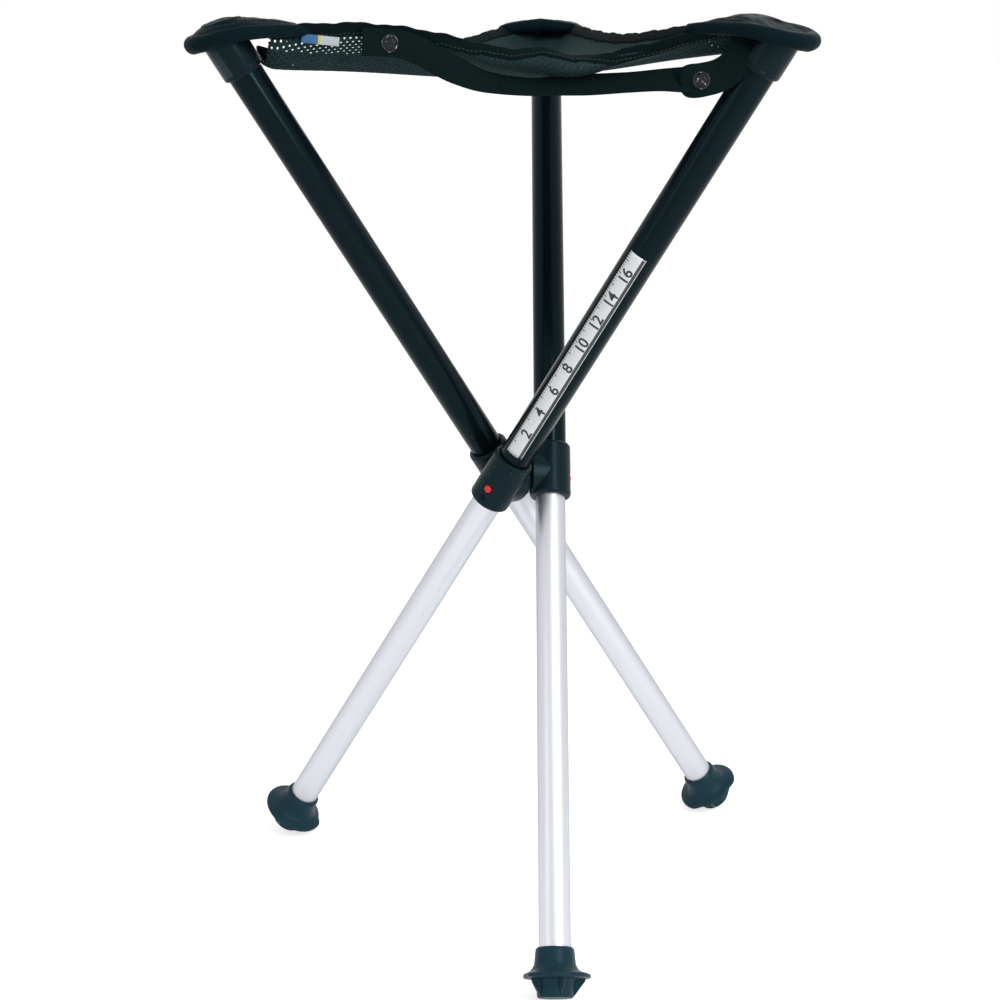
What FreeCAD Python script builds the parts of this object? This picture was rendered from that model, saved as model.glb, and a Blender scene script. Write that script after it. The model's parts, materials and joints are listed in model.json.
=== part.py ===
"""Three-legged telescoping camp stool with a mesh sling seat, in millimetres.

The origin is on the floor under the middle of the hub, and +Z is up. Three legs, a, b and c, stand a
third of a turn apart. Each leg's axis passes the hub's middle at LEG_OFFSET and leans LegTilt away from
upright, about a radial pivot. A leg's own pieces are built in the leg's frame: its origin is on the
pivot, X points radially outwards, and Z runs up along the tube.
"""
import FreeCAD, Part
import os
import re
import Sketcher

os.makedirs("parts", exist_ok=True)

# Driving sizes. Each row: name, value, what it is.
SIZES = [
    ("LegTilt", 33.4, "lean of an open leg from upright, degrees"),
    ("FoldedTilt", 7, "lean of a folded leg, degrees"),
    ("SlideTravel", 306.6, "how far a lower tube slides in"),
    ("LowerReach", 375.6, "pivot to the foot's sole along the leg"),
    ("UpperTubeDiameter", 24, "upper tube, outside"),
    ("UpperTubeWall", 0.9, "upper tube's wall"),
    ("UpperTubeAbove", 372, "upper tube's end above the pivot"),
    ("UpperTubeBelow", 12, "upper tube's end below the pivot"),
    ("LowerTubeWall", 1, "lower tube's wall"),
    ("LowerTubeAbove", 40, "lower tube's end above the pivot"),
    ("SlideClearance", 0.1, "gap between the sliding tubes, on the radius"),
    ("RingClearance", 0.05, "gap of rings and screws in their seats, on the radius"),
    ("CollarWall", 3.15, "collar's wall round the upper tube"),
    ("CollarAbove", 22, "collar's rim above the pivot"),
    ("CollarBelow", 18.5, "collar's mouth below the pivot"),
    ("CollarRim", 1.6, "bevel of the collar's rim"),
    ("CollarEdge", 2.6, "rounding of the collar's lower edge"),
    ("MouthLip", 1.1, "thickness of the lip in the collar's mouth"),
    ("MouthGap", 0.5, "gap between the lip and the lower tube"),
    ("BossSpacing", 0.84, "pivot boss's rim to the middle between two legs, at its hub face"),
    ("BossClearance", 2.2, "the same at the boss's widest"),
    ("BossDepth", 3.2, "hub face to the boss's widest place"),
    ("BossWall", 1.55, "collar's wall under the pivot screw's head"),
    ("HubFlat", 8.5, "hub's middle to each of its three flats"),
    ("HubSpread", 4.5, "how much further out the hub's corners are than its flats"),
    ("HubLength", 27, "hub core's height"),
    ("HubBevel", 1.8, "bevel of the hub core's ends"),
    ("PivotGap", 0.3, "gap between the boss and the hub's flat"),
    ("ScrewHeadRadius", 4.5, "pivot screw's head"),
    ("ScrewHeadHeight", 2, "pivot screw's head, thickness"),
    ("ScrewShoulderRadius", 3, "pivot screw's shoulder"),
    ("ScrewThreadRadius", 2, "pivot screw's thread"),
    ("ScrewTip", 3, "pivot screw's tip to the hub's middle"),
    ("ScrewSocketRadius", 1.7, "six-sided socket in the screw's head"),
    ("ScrewSocketDepth", 1.1, "six-sided socket, depth"),
    ("ButtonBelow", 4, "lock button's middle below the pivot"),
    ("ButtonRadius", 2.9, "lock button"),
    ("ButtonFlangeRadius", 3.5, "lock button's flange inside the collar"),
    ("ButtonFlangeHeight", 0.6, "lock button's flange, thickness"),
    ("ButtonProud", 0.3, "lock button's crown beyond the collar"),
    ("ButtonTravel", 1.2, "how far the lock button is pushed in"),
    ("ButtonGap", 0.3, "gap between the button and the tube or stud"),
    ("DimpleRadius", 9, "ball that scoops the thumb dimple"),
    ("DimpleDepth", 1.2, "thumb dimple, depth"),
    ("ArrowBelow", 8, "arrow notch below the button's middle"),
    ("ArrowSide", 3.4, "arrow notch, side"),
    ("ArrowDepth", 0.8, "arrow notch, depth"),
    ("StudRadius", 2.7, "lock spring's stud"),
    ("LeafWidth", 6, "lock spring's leaf"),
    ("LeafThickness", 0.6, "lock spring's leaf"),
    ("LeafLength", 44, "lock spring, stud to its bend"),
    ("LeafGap", 0.8, "gap between the leaf's middle and the tube's bore"),
    ("PlugStem", 10, "slider plug's stem inside the lower tube"),
    ("PlugFlange", 3, "slider plug's ring above the lower tube"),
    ("PlugBoreRadius", 6, "hole through the slider plug"),
    ("CapWall", 2.45, "top cap's wall round the upper tube"),
    ("CapSkirt", 20.5, "top cap's skirt down the upper tube"),
    ("CapCrown", 6, "top cap's crown above the tube's end"),
    ("CapPlug", 10, "top cap's plug inside the tube"),
    ("CapShoulder", 0.9, "where the cap's crown starts to round, as a share of its height"),
    ("FlangeAboveSole", 14, "foot's sole to the middle of its flange"),
    ("FlangeRadius", 24.4, "foot's flange"),
    ("FlangeRim", 2.4, "thickness of the flange's rim"),
    ("FootSleeve", 19.5, "foot's sleeve above the flange"),
    ("FootWall", 1.55, "foot's wall at the sleeve's top"),
    ("FootFlare", 1.6, "how much wider the sleeve is at its foot"),
    ("SoleMargin", 0.8, "foot's sole beyond the lower tube"),
    ("SoleThickness", 9.6, "rubber under the lower tube"),
    ("SoleSwell", 1.5, "how much wider the sole is above its edge"),
    ("SoleSwellAt", 0.6, "height of the sole's swell, as a share of its thickness"),
    ("FlangeRoot", 2.2, "how much wider than the sole the foot is under its flange"),
    ("FlangeUnder", 0.75, "where the flange's underside starts to thin, as a share of its radius"),
    ("FlangeOver", 0.77, "where the flange's top starts to thin, as a share of its radius"),
    ("FlangeShoulder", 2.9, "flange's middle to its shoulder, in rims"),
    ("FlangeEdge", 0.3, "bevel of the flange's rim"),
    ("SleeveRound", 0.92, "where the sleeve's end starts to round, as a share of its height"),
    ("GussetCount", 5, "ribs under the foot's flange"),
    ("GussetReach", 0.88, "rib's outer end, as a share of the flange's radius"),
    ("GussetAbove", 1, "rib's lower end above the sole"),
    ("GussetWidth", 2.2, "rib's thickness"),
    ("FootGap", 0.2, "half the gap between neighbouring folded feet"),
    ("LabelStart", 29.6, "tube label's lower end above the pivot"),
    ("LabelLength", 177, "tube label"),
    ("LabelTurn", 8.8, "label's middle from radially outwards, degrees"),
    ("LabelSpan", 63.6, "how far the label reaches round the tube, degrees"),
    ("LabelThickness", 0.15, "tube label"),
    ("SeatBelowEnd", 8, "seat's level below the upper tube's end, along it"),
    ("PocketRadius", 32, "corner pocket round the leg"),
    ("PocketInner", 24, "leg's middle to the pocket's inner side"),
    ("PocketBottom", 7, "pocket's rim below the seat's level"),
    ("PocketTop", 24, "pocket's crown above the seat's level"),
    ("PocketCrown", 9, "rounding of the pocket's crown"),
    ("PocketHem", 2.5, "rounding of the pocket's rim"),
    ("ClothGap", 0.3, "gap between a soft piece and what it meets"),
    ("MeshThickness", 1.6, "seat mesh"),
    ("SagDepth", 19, "seat's level to the bottom of the sag"),
    ("SagRadius", 58, "flat middle of the sag"),
    ("SlopeRadius", 84, "where the sag's side meets the edge"),
    ("SlopeRise", 14, "sag's bottom to the top of its side"),
    ("ShoulderRadius", 128, "where the cloth has risen to its corners"),
    ("ShoulderRise", 32, "sag's bottom to the cloth's shoulder"),
    ("EdgeRise", 35, "sag's bottom to the cloth at the corners"),
    ("CornerHalfWidth", 18, "half the cloth's width where it meets a pocket"),
    ("EdgeBow", 16.4, "how far a seat edge bows inwards"),
    ("BindingThickness", 2.4, "edge binding"),
    ("BindingBelow", 9, "edge binding below the cloth's edge"),
    ("BindingAbove", 2.5, "edge binding above the cloth's edge"),
    ("StrapWidth", 18, "carry strap"),
    ("StrapThickness", 1.8, "carry strap"),
    ("StrapStart", 92, "strap's left end from the near edge's middle"),
    ("StrapStartHeight", 7, "strap's left end above the seat's level"),
    ("StrapEndHeight", 18, "strap's right end below the seat's level"),
    ("StrapLowHeight", 23, "strap's lowest place below the seat's level"),
    ("StrapLowPlace", 20, "strap's lowest place from the near edge's middle"),
    ("StrapYaw", 1.5, "how far the strap leans out to its right end, degrees"),
    ("TabLength", 36.6, "strap tab"),
    ("TabRise", 11, "how much higher the tab's outer end is"),
    ("TabLap", 11, "how far the tab laps over the strap"),
    ("TabNose", 0.6, "width of the tab's blunt end, as a share of the strap's"),
    ("StudHeadRadius", 6, "press stud"),
    ("StudHeadHeight", 1.4, "press stud"),
    ("StudInset", 8, "strap's left end to its press stud's middle"),
    ("StudRise", 1, "tab's press stud above the strap's right end"),
    ("TagLength", 25, "seat tag"),
    ("TagHeight", 8, "seat tag"),
    ("TagThickness", 0.8, "seat tag"),
    ("TagPlace", 119, "seat tag's middle from the near edge's middle"),
]

# Each leg's name and where its pivot lies round the hub, in degrees.
LEGS = {"a": -120, "b": 0, "c": 120}

# The tool bodies that cut a piece run past it by this much.
PAST = "2"

# Each edge binding is cut from a band that runs this far round the hub, in degrees.
BAND_ANGLE = 118

# Sizes that follow from the driving ones.
UPPER_RADIUS = "(UpperTubeDiameter / 2)"
UPPER_BORE = "(UpperTubeDiameter / 2 - UpperTubeWall)"
LOWER_RADIUS = "(UpperTubeDiameter / 2 - UpperTubeWall - SlideClearance)"
LOWER_BORE = f"({LOWER_RADIUS} - LowerTubeWall)"
SOLE_RADIUS = f"({LOWER_RADIUS} + SoleMargin)"
FLANGE_REACH = "(LowerReach - FlangeAboveSole)"
PIVOT_HEIGHT = f"(LowerReach * cos(LegTilt * 1deg) + {SOLE_RADIUS} * sin(LegTilt * 1deg))"
COLLAR_BORE = f"({UPPER_RADIUS} + RingClearance)"
COLLAR_RADIUS = f"({COLLAR_BORE} + CollarWall)"
LIP_TOP = "(MouthLip - CollarBelow)"
HEAD_FACE = f"({UPPER_RADIUS} + 3 * RingClearance)"
HEAD_SEAT = f"({HEAD_FACE} + ScrewHeadHeight)"
BOSS_FACE = f"({HEAD_SEAT} + BossWall)"
HUB_FACE = f"({BOSS_FACE} + PivotGap)"
LEG_OFFSET = f"(HubFlat + {HUB_FACE})"
BOSS_FACE_RADIUS = "((HubFlat + PivotGap) * tan(60deg) - BossSpacing)"
BOSS_RADIUS = "((HubFlat + PivotGap + BossDepth) * tan(60deg) - BossClearance)"
BUTTON_FOOT = f"({UPPER_RADIUS} + ButtonGap)"
BUTTON_HOLE = "(ButtonRadius + 2 * RingClearance)"
BUTTON_SEAT = "(ButtonFlangeRadius + 4 * RingClearance)"
CAP_RADIUS = f"({COLLAR_BORE} + CapWall)"
SEAT_REACH = "(UpperTubeAbove - SeatBelowEnd)"
SEAT_LEVEL = f"({PIVOT_HEIGHT} + {SEAT_REACH} * cos(LegTilt * 1deg))"
CORNER_SIDE = f"({SEAT_REACH} * sin(LegTilt * 1deg))"
CORNER_RADIUS = f"sqrt(pow({LEG_OFFSET}; 2) + pow({CORNER_SIDE}; 2))"
CORNER_TURN = f"(atan({CORNER_SIDE} / {LEG_OFFSET}) / 1deg)"
CLOTH_END = f"({CORNER_RADIUS} - PocketInner - ClothGap)"
SAG_BOTTOM = f"({SEAT_LEVEL} - SagDepth)"
EDGE_NEAR = f"({CLOTH_END} * cos(60deg) + CornerHalfWidth * sin(60deg))"
EDGE_ALONG = f"({CLOTH_END} * sin(60deg) - CornerHalfWidth * cos(60deg))"
EDGE_ARC = f"((pow(EdgeBow; 2) + pow({EDGE_ALONG}; 2)) / (2 * EdgeBow))"
EDGE_CENTRE = f"({EDGE_NEAR} - EdgeBow + {EDGE_ARC})"
STRAP_END = f"({CORNER_RADIUS} * sin(60deg) - PocketRadius - 2 * ClothGap - TabLength + TabLap)"


def bound(text):
    """The expression with each size's name turned into its cell's."""
    return re.sub(r"\b([A-Z][A-Za-z]+)\b", r"Sizes.\1", text)


def bind(thing, **places):
    """Binds each named property of thing to an expression of the sizes."""
    for name, text in places.items():
        thing.setExpression(name, bound(text))


def number(text):
    """The expression's present value."""
    value = sheet.evalExpression(bound(text))
    return float(getattr(value, "Value", value))


def at(x, y, z, turn=""):
    """A placement expression: a point and, if given, a turn."""
    point = f"vector({x}; {y}; {z})"
    return f"placement({point}; {turn or 'rotationz(0)'})"


def leg_place(turn):
    """Where a leg's own frame lies."""
    x = f"{LEG_OFFSET} * cos({turn}deg)"
    y = f"{LEG_OFFSET} * sin({turn}deg)"
    return at(x, y, PIVOT_HEIGHT, f"rotationz({turn}) * rotationx(-LegTilt)")


def new_body(label, place):
    """An empty body for one piece."""
    body = doc.addObject("PartDesign::Body", label)
    body.Label = label
    bind(body, Placement=place)
    return body


def outline(body, plane, corners):
    """A closed sketch of straight sides on one of the body's planes, each corner bound to the sizes."""
    drawing = body.newObject("Sketcher::SketchObject", body.Label + "_outline")
    base = [f for f in body.Origin.OriginFeatures if f.Role == plane]
    drawing.AttachmentSupport = (base[0], [""])
    drawing.MapMode = "FlatFace"
    points = [FreeCAD.Vector(number(x), number(y), 0) for x, y in corners]
    for here, there in zip(points, points[1:] + points[:1]):
        drawing.addGeometry(Part.LineSegment(here, there), False)
    for side in range(len(corners)):
        drawing.addConstraint(Sketcher.Constraint("Coincident", side, 2, (side + 1) % len(corners), 1))
    for side, (x, y) in enumerate(corners):
        point = points[side]
        for kind, text, axis, value in (("DistanceX", x, -2, point.x), ("DistanceY", y, -1, point.y)):
            if text == "0":
                drawing.addConstraint(Sketcher.Constraint("PointOnObject", side, 1, axis))
                continue
            index = drawing.addConstraint(Sketcher.Constraint(kind, -1, 1, side, 1, value))
            drawing.setExpression(f"Constraints[{index}]", bound(text))
    return drawing


def turned(body, corners, angle=360, middle=False):
    """A solid turned about the body's Z axis from an outline of radius and height."""
    drawing = outline(body, "XZ_Plane", corners)
    solid = body.newObject("PartDesign::Revolution", body.Label + "_turned")
    solid.Profile = drawing
    solid.ReferenceAxis = (drawing, ["V_Axis"])
    solid.Angle = angle
    solid.Midplane = middle
    doc.recompute()
    return solid


def padded(body, plane, corners, length, middle=False):
    """A solid of even thickness from an outline."""
    solid = body.newObject("PartDesign::Pad", body.Label + "_pad")
    solid.Profile = outline(body, plane, corners)
    solid.SideType = "Symmetric" if middle else "One side"
    bind(solid, Length=length)
    doc.recompute()
    return solid


def shaped(body, kind, place, **sizes):
    """Adds or cuts a basic shape, such as AdditiveCone or SubtractiveCylinder."""
    solid = body.newObject("PartDesign::" + kind, body.Label + "_" + kind)
    bind(solid, Placement=place, **sizes)
    doc.recompute()
    return solid


def outwards(start, height="0"):
    """Stands a shape's axis radially outwards from start, at a height along the leg."""
    return at(start, "0", height, "rotationy(90)")


def rounded(body, base, radius, test, kind="Fillet"):
    """Rounds or bevels the edges of base whose middles pass the test."""
    found = []
    for index, edge in enumerate(base.Shape.Edges, start=1):
        middle = edge.valueAt((edge.FirstParameter + edge.LastParameter) / 2)
        if test(edge, middle):
            found.append(f"Edge{index}")
    solid = body.newObject("PartDesign::" + kind, body.Label + "_" + kind)
    solid.Base = (base, found)
    bind(solid, **{"Radius" if kind == "Fillet" else "Size": radius})
    doc.recompute()
    return solid


def ring_at(radius, height):
    """A test for round edges of a radius at a height."""
    def test(edge, middle):
        if not isinstance(edge.Curve, Part.Circle):
            return False
        return abs(edge.Curve.Radius - number(radius)) < 0.01 and abs(middle.z - number(height)) < 0.01
    return test


# The upper tube, with the hole that the button and the stud meet in.
def upper_tube(leg, place):
    body = new_body(f"upper_tube_{leg}", place)
    turned(body, [(UPPER_BORE, "-UpperTubeBelow"), (UPPER_RADIUS, "-UpperTubeBelow"),
                  (UPPER_RADIUS, "UpperTubeAbove"), (UPPER_BORE, "UpperTubeAbove")])
    shaped(body, "SubtractiveCylinder", outwards("0", "-ButtonBelow"),
           Radius=BUTTON_SEAT, Height=f"{UPPER_RADIUS} + {PAST}")
    return body


# The lower tube slides in the upper one and stands on the rubber of its foot.
def lower_tube(leg, place):
    body = new_body(f"lower_tube_{leg}", place)
    foot = "(SoleThickness - LowerReach)"
    turned(body, [(LOWER_BORE, foot), (LOWER_RADIUS, foot),
                  (LOWER_RADIUS, "LowerTubeAbove"), (LOWER_BORE, "LowerTubeAbove")])
    shaped(body, "SubtractiveCylinder", outwards("0", "-ButtonBelow"),
           Radius="StudRadius + SlideClearance", Height=f"{LOWER_RADIUS} + {PAST}")
    return body


# The collar: a sleeve with a pivot boss towards the hub and a thumb dimple on its outer side.
def collar(leg, place):
    body = new_body(f"collar_{leg}", place)
    sleeve = turned(body, [("0", "-CollarBelow"), (COLLAR_RADIUS, "-CollarBelow"),
                           (COLLAR_RADIUS, "CollarAbove - CollarRim"),
                           (f"{COLLAR_RADIUS} - CollarRim / 2", "CollarAbove"), ("0", "CollarAbove")])
    rounded(body, sleeve, "CollarEdge", ring_at(COLLAR_RADIUS, "-CollarBelow"))
    widest = f"({BOSS_FACE} - BossDepth)"
    shaped(body, "AdditiveCone", at("0", "0", "0", "rotationy(-90)"),
           Radius1=COLLAR_RADIUS, Radius2=BOSS_RADIUS, Height=widest)
    shaped(body, "AdditiveCone", at(f"-{widest}", "0", "0", "rotationy(-90)"),
           Radius1=BOSS_RADIUS, Radius2=BOSS_FACE_RADIUS, Height="BossDepth")
    shaped(body, "SubtractiveCylinder", at("0", "0", LIP_TOP), Radius=COLLAR_BORE,
           Height=f"CollarAbove + CollarBelow + {PAST}")
    shaped(body, "SubtractiveCylinder", at("0", "0", f"-CollarBelow - {PAST}"),
           Radius=f"{LOWER_RADIUS} + MouthGap", Height=f"CollarBelow + {PAST}")
    shaped(body, "SubtractiveCylinder", outwards(f"-{HEAD_SEAT} - RingClearance"),
           Radius="ScrewHeadRadius + 2 * RingClearance", Height=HEAD_SEAT)
    shaped(body, "SubtractiveCylinder", outwards(f"-{BOSS_FACE} - {PAST}"),
           Radius="ScrewShoulderRadius + RingClearance", Height=BOSS_FACE)
    ball = at(f"{COLLAR_RADIUS} + DimpleRadius - DimpleDepth", "0", "-ButtonBelow")
    shaped(body, "SubtractiveSphere", ball, Radius="DimpleRadius")
    half = "ArrowSide / sqrt(2)"
    shaped(body, "SubtractiveBox",
           at(f"{COLLAR_RADIUS} - ArrowDepth", "0", f"-ButtonBelow - ArrowBelow - {half}", "rotationx(45)"),
           Length=f"ArrowDepth + {PAST}", Width="ArrowSide", Height="ArrowSide")
    shaped(body, "SubtractiveCylinder", outwards("0", "-ButtonBelow"),
           Radius=BUTTON_SEAT, Height=f"{BUTTON_FOOT} + ButtonFlangeHeight + 2 * RingClearance")
    shaped(body, "SubtractiveCylinder", outwards("0", "-ButtonBelow"),
           Radius=BUTTON_HOLE, Height=f"{COLLAR_RADIUS} + {PAST}")
    return body


# The bush that the lower tube runs in, between the mouth's lip and the upper tube's end.
def guide_bush(leg, place):
    body = new_body(f"guide_bush_{leg}", place)
    low = f"({LIP_TOP} + RingClearance)"
    high = "(-UpperTubeBelow - RingClearance)"
    turned(body, [(UPPER_BORE, low), (UPPER_RADIUS, low), (UPPER_RADIUS, high), (UPPER_BORE, high)])
    return body


# The ring on the lower tube's upper end keeps it square in the upper tube.
def slider_plug(leg, place):
    body = new_body(f"slider_plug_{leg}", place)
    stem = f"({LOWER_BORE} - RingClearance)"
    ring = f"({UPPER_BORE} - RingClearance)"
    top = "LowerTubeAbove + PlugFlange"
    turned(body, [("PlugBoreRadius", "LowerTubeAbove - PlugStem"), (stem, "LowerTubeAbove - PlugStem"),
                  (stem, "LowerTubeAbove"), (ring, "LowerTubeAbove"), (ring, top), ("PlugBoreRadius", top)])
    return body


# The red button: a flange that stays behind the collar's wall and a crowned stem.
def lock_button(leg, place):
    body = new_body(f"lock_button_{leg}", place)
    shaped(body, "AdditiveCylinder", outwards(BUTTON_FOOT, "-ButtonBelow"),
           Radius="ButtonFlangeRadius", Height="ButtonFlangeHeight")
    stem = shaped(body, "AdditiveCylinder", outwards(BUTTON_FOOT, "-ButtonBelow"),
                  Radius="ButtonRadius", Height=f"{COLLAR_RADIUS} + ButtonProud - {BUTTON_FOOT}")
    crown = number(f"{COLLAR_RADIUS} + ButtonProud")
    rounded(body, stem, "ButtonRadius / 2", lambda edge, middle: abs(middle.x - crown) < 0.01)
    return body


# The lock spring: a bent leaf inside the lower tube with a stud through both tubes' holes.
def lock_spring(leg, place):
    body = new_body(f"lock_spring_{leg}", place)
    outer = f"({LOWER_BORE} - LeafGap)"
    inner = f"({outer} - LeafThickness)"
    end = "(StudRadius - ButtonBelow)"
    bend = "(-ButtonBelow - LeafLength)"
    leaf = [(outer, end), (inner, end), ("0", f"{bend} + 4 * LeafThickness"), (f"-{inner}", end),
            (f"-{outer}", end), ("-LeafThickness", bend), ("LeafThickness", bend)]
    padded(body, "XZ_Plane", leaf, "LeafWidth", middle=True)
    shaped(body, "AdditiveCylinder", outwards(f"{inner}", "-ButtonBelow"),
           Radius="StudRadius", Height=f"{UPPER_RADIUS} - {inner}")
    return body


# The pivot screw: its head lies in the collar's wall, its shoulder is the leg's axle, and its
# thread is in the hub.
def pivot_screw(leg, place):
    body = new_body(f"pivot_screw_{leg}", place)
    inwards = "rotationy(-90)"
    shaped(body, "AdditiveCylinder", at(f"-{HEAD_FACE}", "0", "0", inwards),
           Radius="ScrewHeadRadius", Height="ScrewHeadHeight")
    shaped(body, "AdditiveCylinder", at(f"-{HEAD_FACE}", "0", "0", inwards),
           Radius="ScrewShoulderRadius", Height=f"{HUB_FACE} - {HEAD_FACE}")
    shaped(body, "AdditiveCylinder", at(f"-{HEAD_FACE}", "0", "0", inwards),
           Radius="ScrewThreadRadius", Height=f"{LEG_OFFSET} - {HEAD_FACE} - ScrewTip")
    shaped(body, "SubtractivePrism", at(f"-{HEAD_FACE} + {PAST}", "0", "0", inwards),
           Circumradius="ScrewSocketRadius", Height=f"ScrewSocketDepth + {PAST}")
    return body


# The cap sleeves the upper tube's end and plugs it.
def top_cap(leg, place):
    body = new_body(f"top_cap_{leg}", place)
    seat = "(UpperTubeAbove + RingClearance)"
    crown = "(UpperTubeAbove + CapCrown)"
    plug = f"({UPPER_BORE} - RingClearance)"
    turned(body, [("0", "UpperTubeAbove - CapPlug"), (plug, "UpperTubeAbove - CapPlug"), (plug, seat),
                  (COLLAR_BORE, seat), (COLLAR_BORE, "UpperTubeAbove - CapSkirt"),
                  (CAP_RADIUS, "UpperTubeAbove - CapSkirt"),
                  (CAP_RADIUS, f"{crown} - CapShoulder * CapCrown"),
                  (f"{CAP_RADIUS} - CapCrown / 4", f"{crown} - CapCrown / 4"),
                  (f"{CAP_RADIUS} - CapCrown", crown), ("0", crown)])
    return body


# The rubber foot: a sleeve, a wide flange with a flat towards each neighbour, gussets and a sole.
def foot(leg, place):
    body = new_body(f"foot_{leg}", place)
    bore = f"({LOWER_RADIUS} + RingClearance)"
    neck = f"({bore} + FootWall + FootFlare)"
    flange = f"(-{FLANGE_REACH})"
    sole = "(-LowerReach)"
    turned(body, [("0", sole), (SOLE_RADIUS, sole),
                  (f"{SOLE_RADIUS} + SoleSwell", f"{sole} + SoleSwellAt * SoleThickness"),
                  (f"{SOLE_RADIUS} + FlangeRoot", f"{flange} - 2 * FlangeRim"),
                  ("FlangeUnder * FlangeRadius", f"{flange} - FlangeRim"),
                  ("FlangeRadius - FlangeEdge", f"{flange} - FlangeRim / 2"), ("FlangeRadius", flange),
                  ("FlangeRadius - FlangeEdge", f"{flange} + FlangeRim / 2"),
                  ("FlangeOver * FlangeRadius", f"{flange} + 3 * FlangeRim / 2"),
                  (f"{neck} + FootFlare", f"{flange} + FlangeShoulder * FlangeRim"),
                  (neck, f"{flange} + FootSleeve / 2"),
                  (f"{bore} + FootWall", f"{flange} + SleeveRound * FootSleeve"),
                  (f"{bore} + FootWall / 2", f"{flange} + FootSleeve"), (bore, f"{flange} + FootSleeve"),
                  (bore, "SoleThickness - LowerReach"), ("0", "SoleThickness - LowerReach")])
    root = f"({SOLE_RADIUS} - GussetAbove)"
    low = f"({sole} + GussetAbove)"
    rib = [(root, low), (f"{SOLE_RADIUS} + FlangeEdge", low),
           ("GussetReach * FlangeRadius", f"{flange} - FlangeRim"),
           ("GussetReach * FlangeRadius", f"{flange} - FlangeRim / 4"),
           (root, f"{flange} - FlangeRim / 4")]
    gusset = padded(body, "XZ_Plane", rib, "GussetWidth", middle=True)
    pattern = body.newObject("PartDesign::PolarPattern", body.Label + "_gussets")
    pattern.Originals = [gusset]
    pattern.Axis = (gusset.Profile[0], ["V_Axis"])
    pattern.Angle = 360
    bind(pattern, Occurrences="GussetCount")
    body.Tip = pattern
    doc.recompute()
    side = f"(({FLANGE_REACH} - SlideTravel) * sin(FoldedTilt * 1deg))"
    apart = f"(sqrt(pow({LEG_OFFSET}; 2) + pow({side}; 2)) * sin(60deg) - FootGap)"
    swing = f"(atan({side} / {LEG_OFFSET}) / 1deg)"
    for turn in (150, -150):
        along = f"({turn} - {swing})"
        box = at(f"{apart} * cos({along} * 1deg) + FlangeRadius * sin({along} * 1deg)",
                 f"{apart} * sin({along} * 1deg) - FlangeRadius * cos({along} * 1deg)",
                 f"{flange} - 4 * FlangeRim", f"rotationz({along})")
        shaped(body, "SubtractiveBox", box,
               Length="FlangeRadius", Width="2 * FlangeRadius", Height="8 * FlangeRim")
    return body


# The padded corner of the seat, a hood over the cap. It is hollow where the cap stands in it.
def corner_pocket(leg, turn):
    corner = f"({turn} + {CORNER_TURN})"
    place = at(f"{CORNER_RADIUS} * cos({corner} * 1deg)", f"{CORNER_RADIUS} * sin({corner} * 1deg)",
               f"{SEAT_LEVEL} - PocketBottom", f"rotationz({corner})")
    body = new_body(f"corner_pocket_{leg}", place)
    height = "(PocketBottom + PocketTop)"
    hood = shaped(body, "AdditiveCylinder", at("0", "0", "0"), Radius="PocketRadius", Height=height)
    crown = rounded(body, hood, "PocketCrown", ring_at("PocketRadius", height))
    rounded(body, crown, "PocketHem", ring_at("PocketRadius", "0"))
    shaped(body, "SubtractiveBox", at("-PocketInner - 2 * PocketRadius", "-2 * PocketRadius", f"-{PAST}"),
           Length="2 * PocketRadius", Width="4 * PocketRadius", Height=f"{height} + 2 * {PAST}")
    lean = f"rotationz(-{CORNER_TURN}) * rotationx(-LegTilt)"
    down = "2 * PocketTop"
    shaped(body, "SubtractiveCylinder",
           f"{at('0', '0', 'PocketBottom', lean)} * {at('0', '0', '-' + down)}",
           Radius=f"{CAP_RADIUS} + ClothGap", Height=f"{down} + SeatBelowEnd + CapCrown + ClothGap")
    return body


# The block in the middle: three flats for the bosses and three threaded holes.
def hub_core():
    body = new_body("hub_core", at("0", "0", PIVOT_HEIGHT))
    side = "((HubFlat + HubSpread - HubFlat * cos(60deg)) / sin(60deg))"
    corners = []
    for turn in LEGS.values():
        for way in (-1, 1):
            corners.append((f"HubFlat * cos({turn}deg) - ({way}) * {side} * sin({turn}deg)",
                            f"HubFlat * sin({turn}deg) + ({way}) * {side} * cos({turn}deg)"))
    block = padded(body, "XY_Plane", corners, "HubLength", middle=True)
    half = number("HubLength / 2")
    rounded(body, block, "HubBevel", lambda edge, middle: abs(abs(middle.z) - half) < 0.01, "Chamfer")
    for turn in LEGS.values():
        depth = "(ScrewTip - 2 * RingClearance)"
        shaped(body, "SubtractiveCylinder", f"{at('0', '0', '0', f'rotationz({turn})')} * {outwards(depth)}",
               Radius="ScrewThreadRadius + RingClearance", Height="HubFlat")
    return body


def sag_height(radius):
    """The cloth's height at one of its rings, above the bottom of the sag."""
    rises = {"SagRadius": "0", "SlopeRadius": "SlopeRise", "ShoulderRadius": "ShoulderRise",
             CLOTH_END: "EdgeRise"}
    return rises[radius]


def edge_turn(leg_turn):
    """Where the middle of the seat edge that follows a leg's corner lies round the hub."""
    return f"({leg_turn} + {CORNER_TURN} - 60)"


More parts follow.
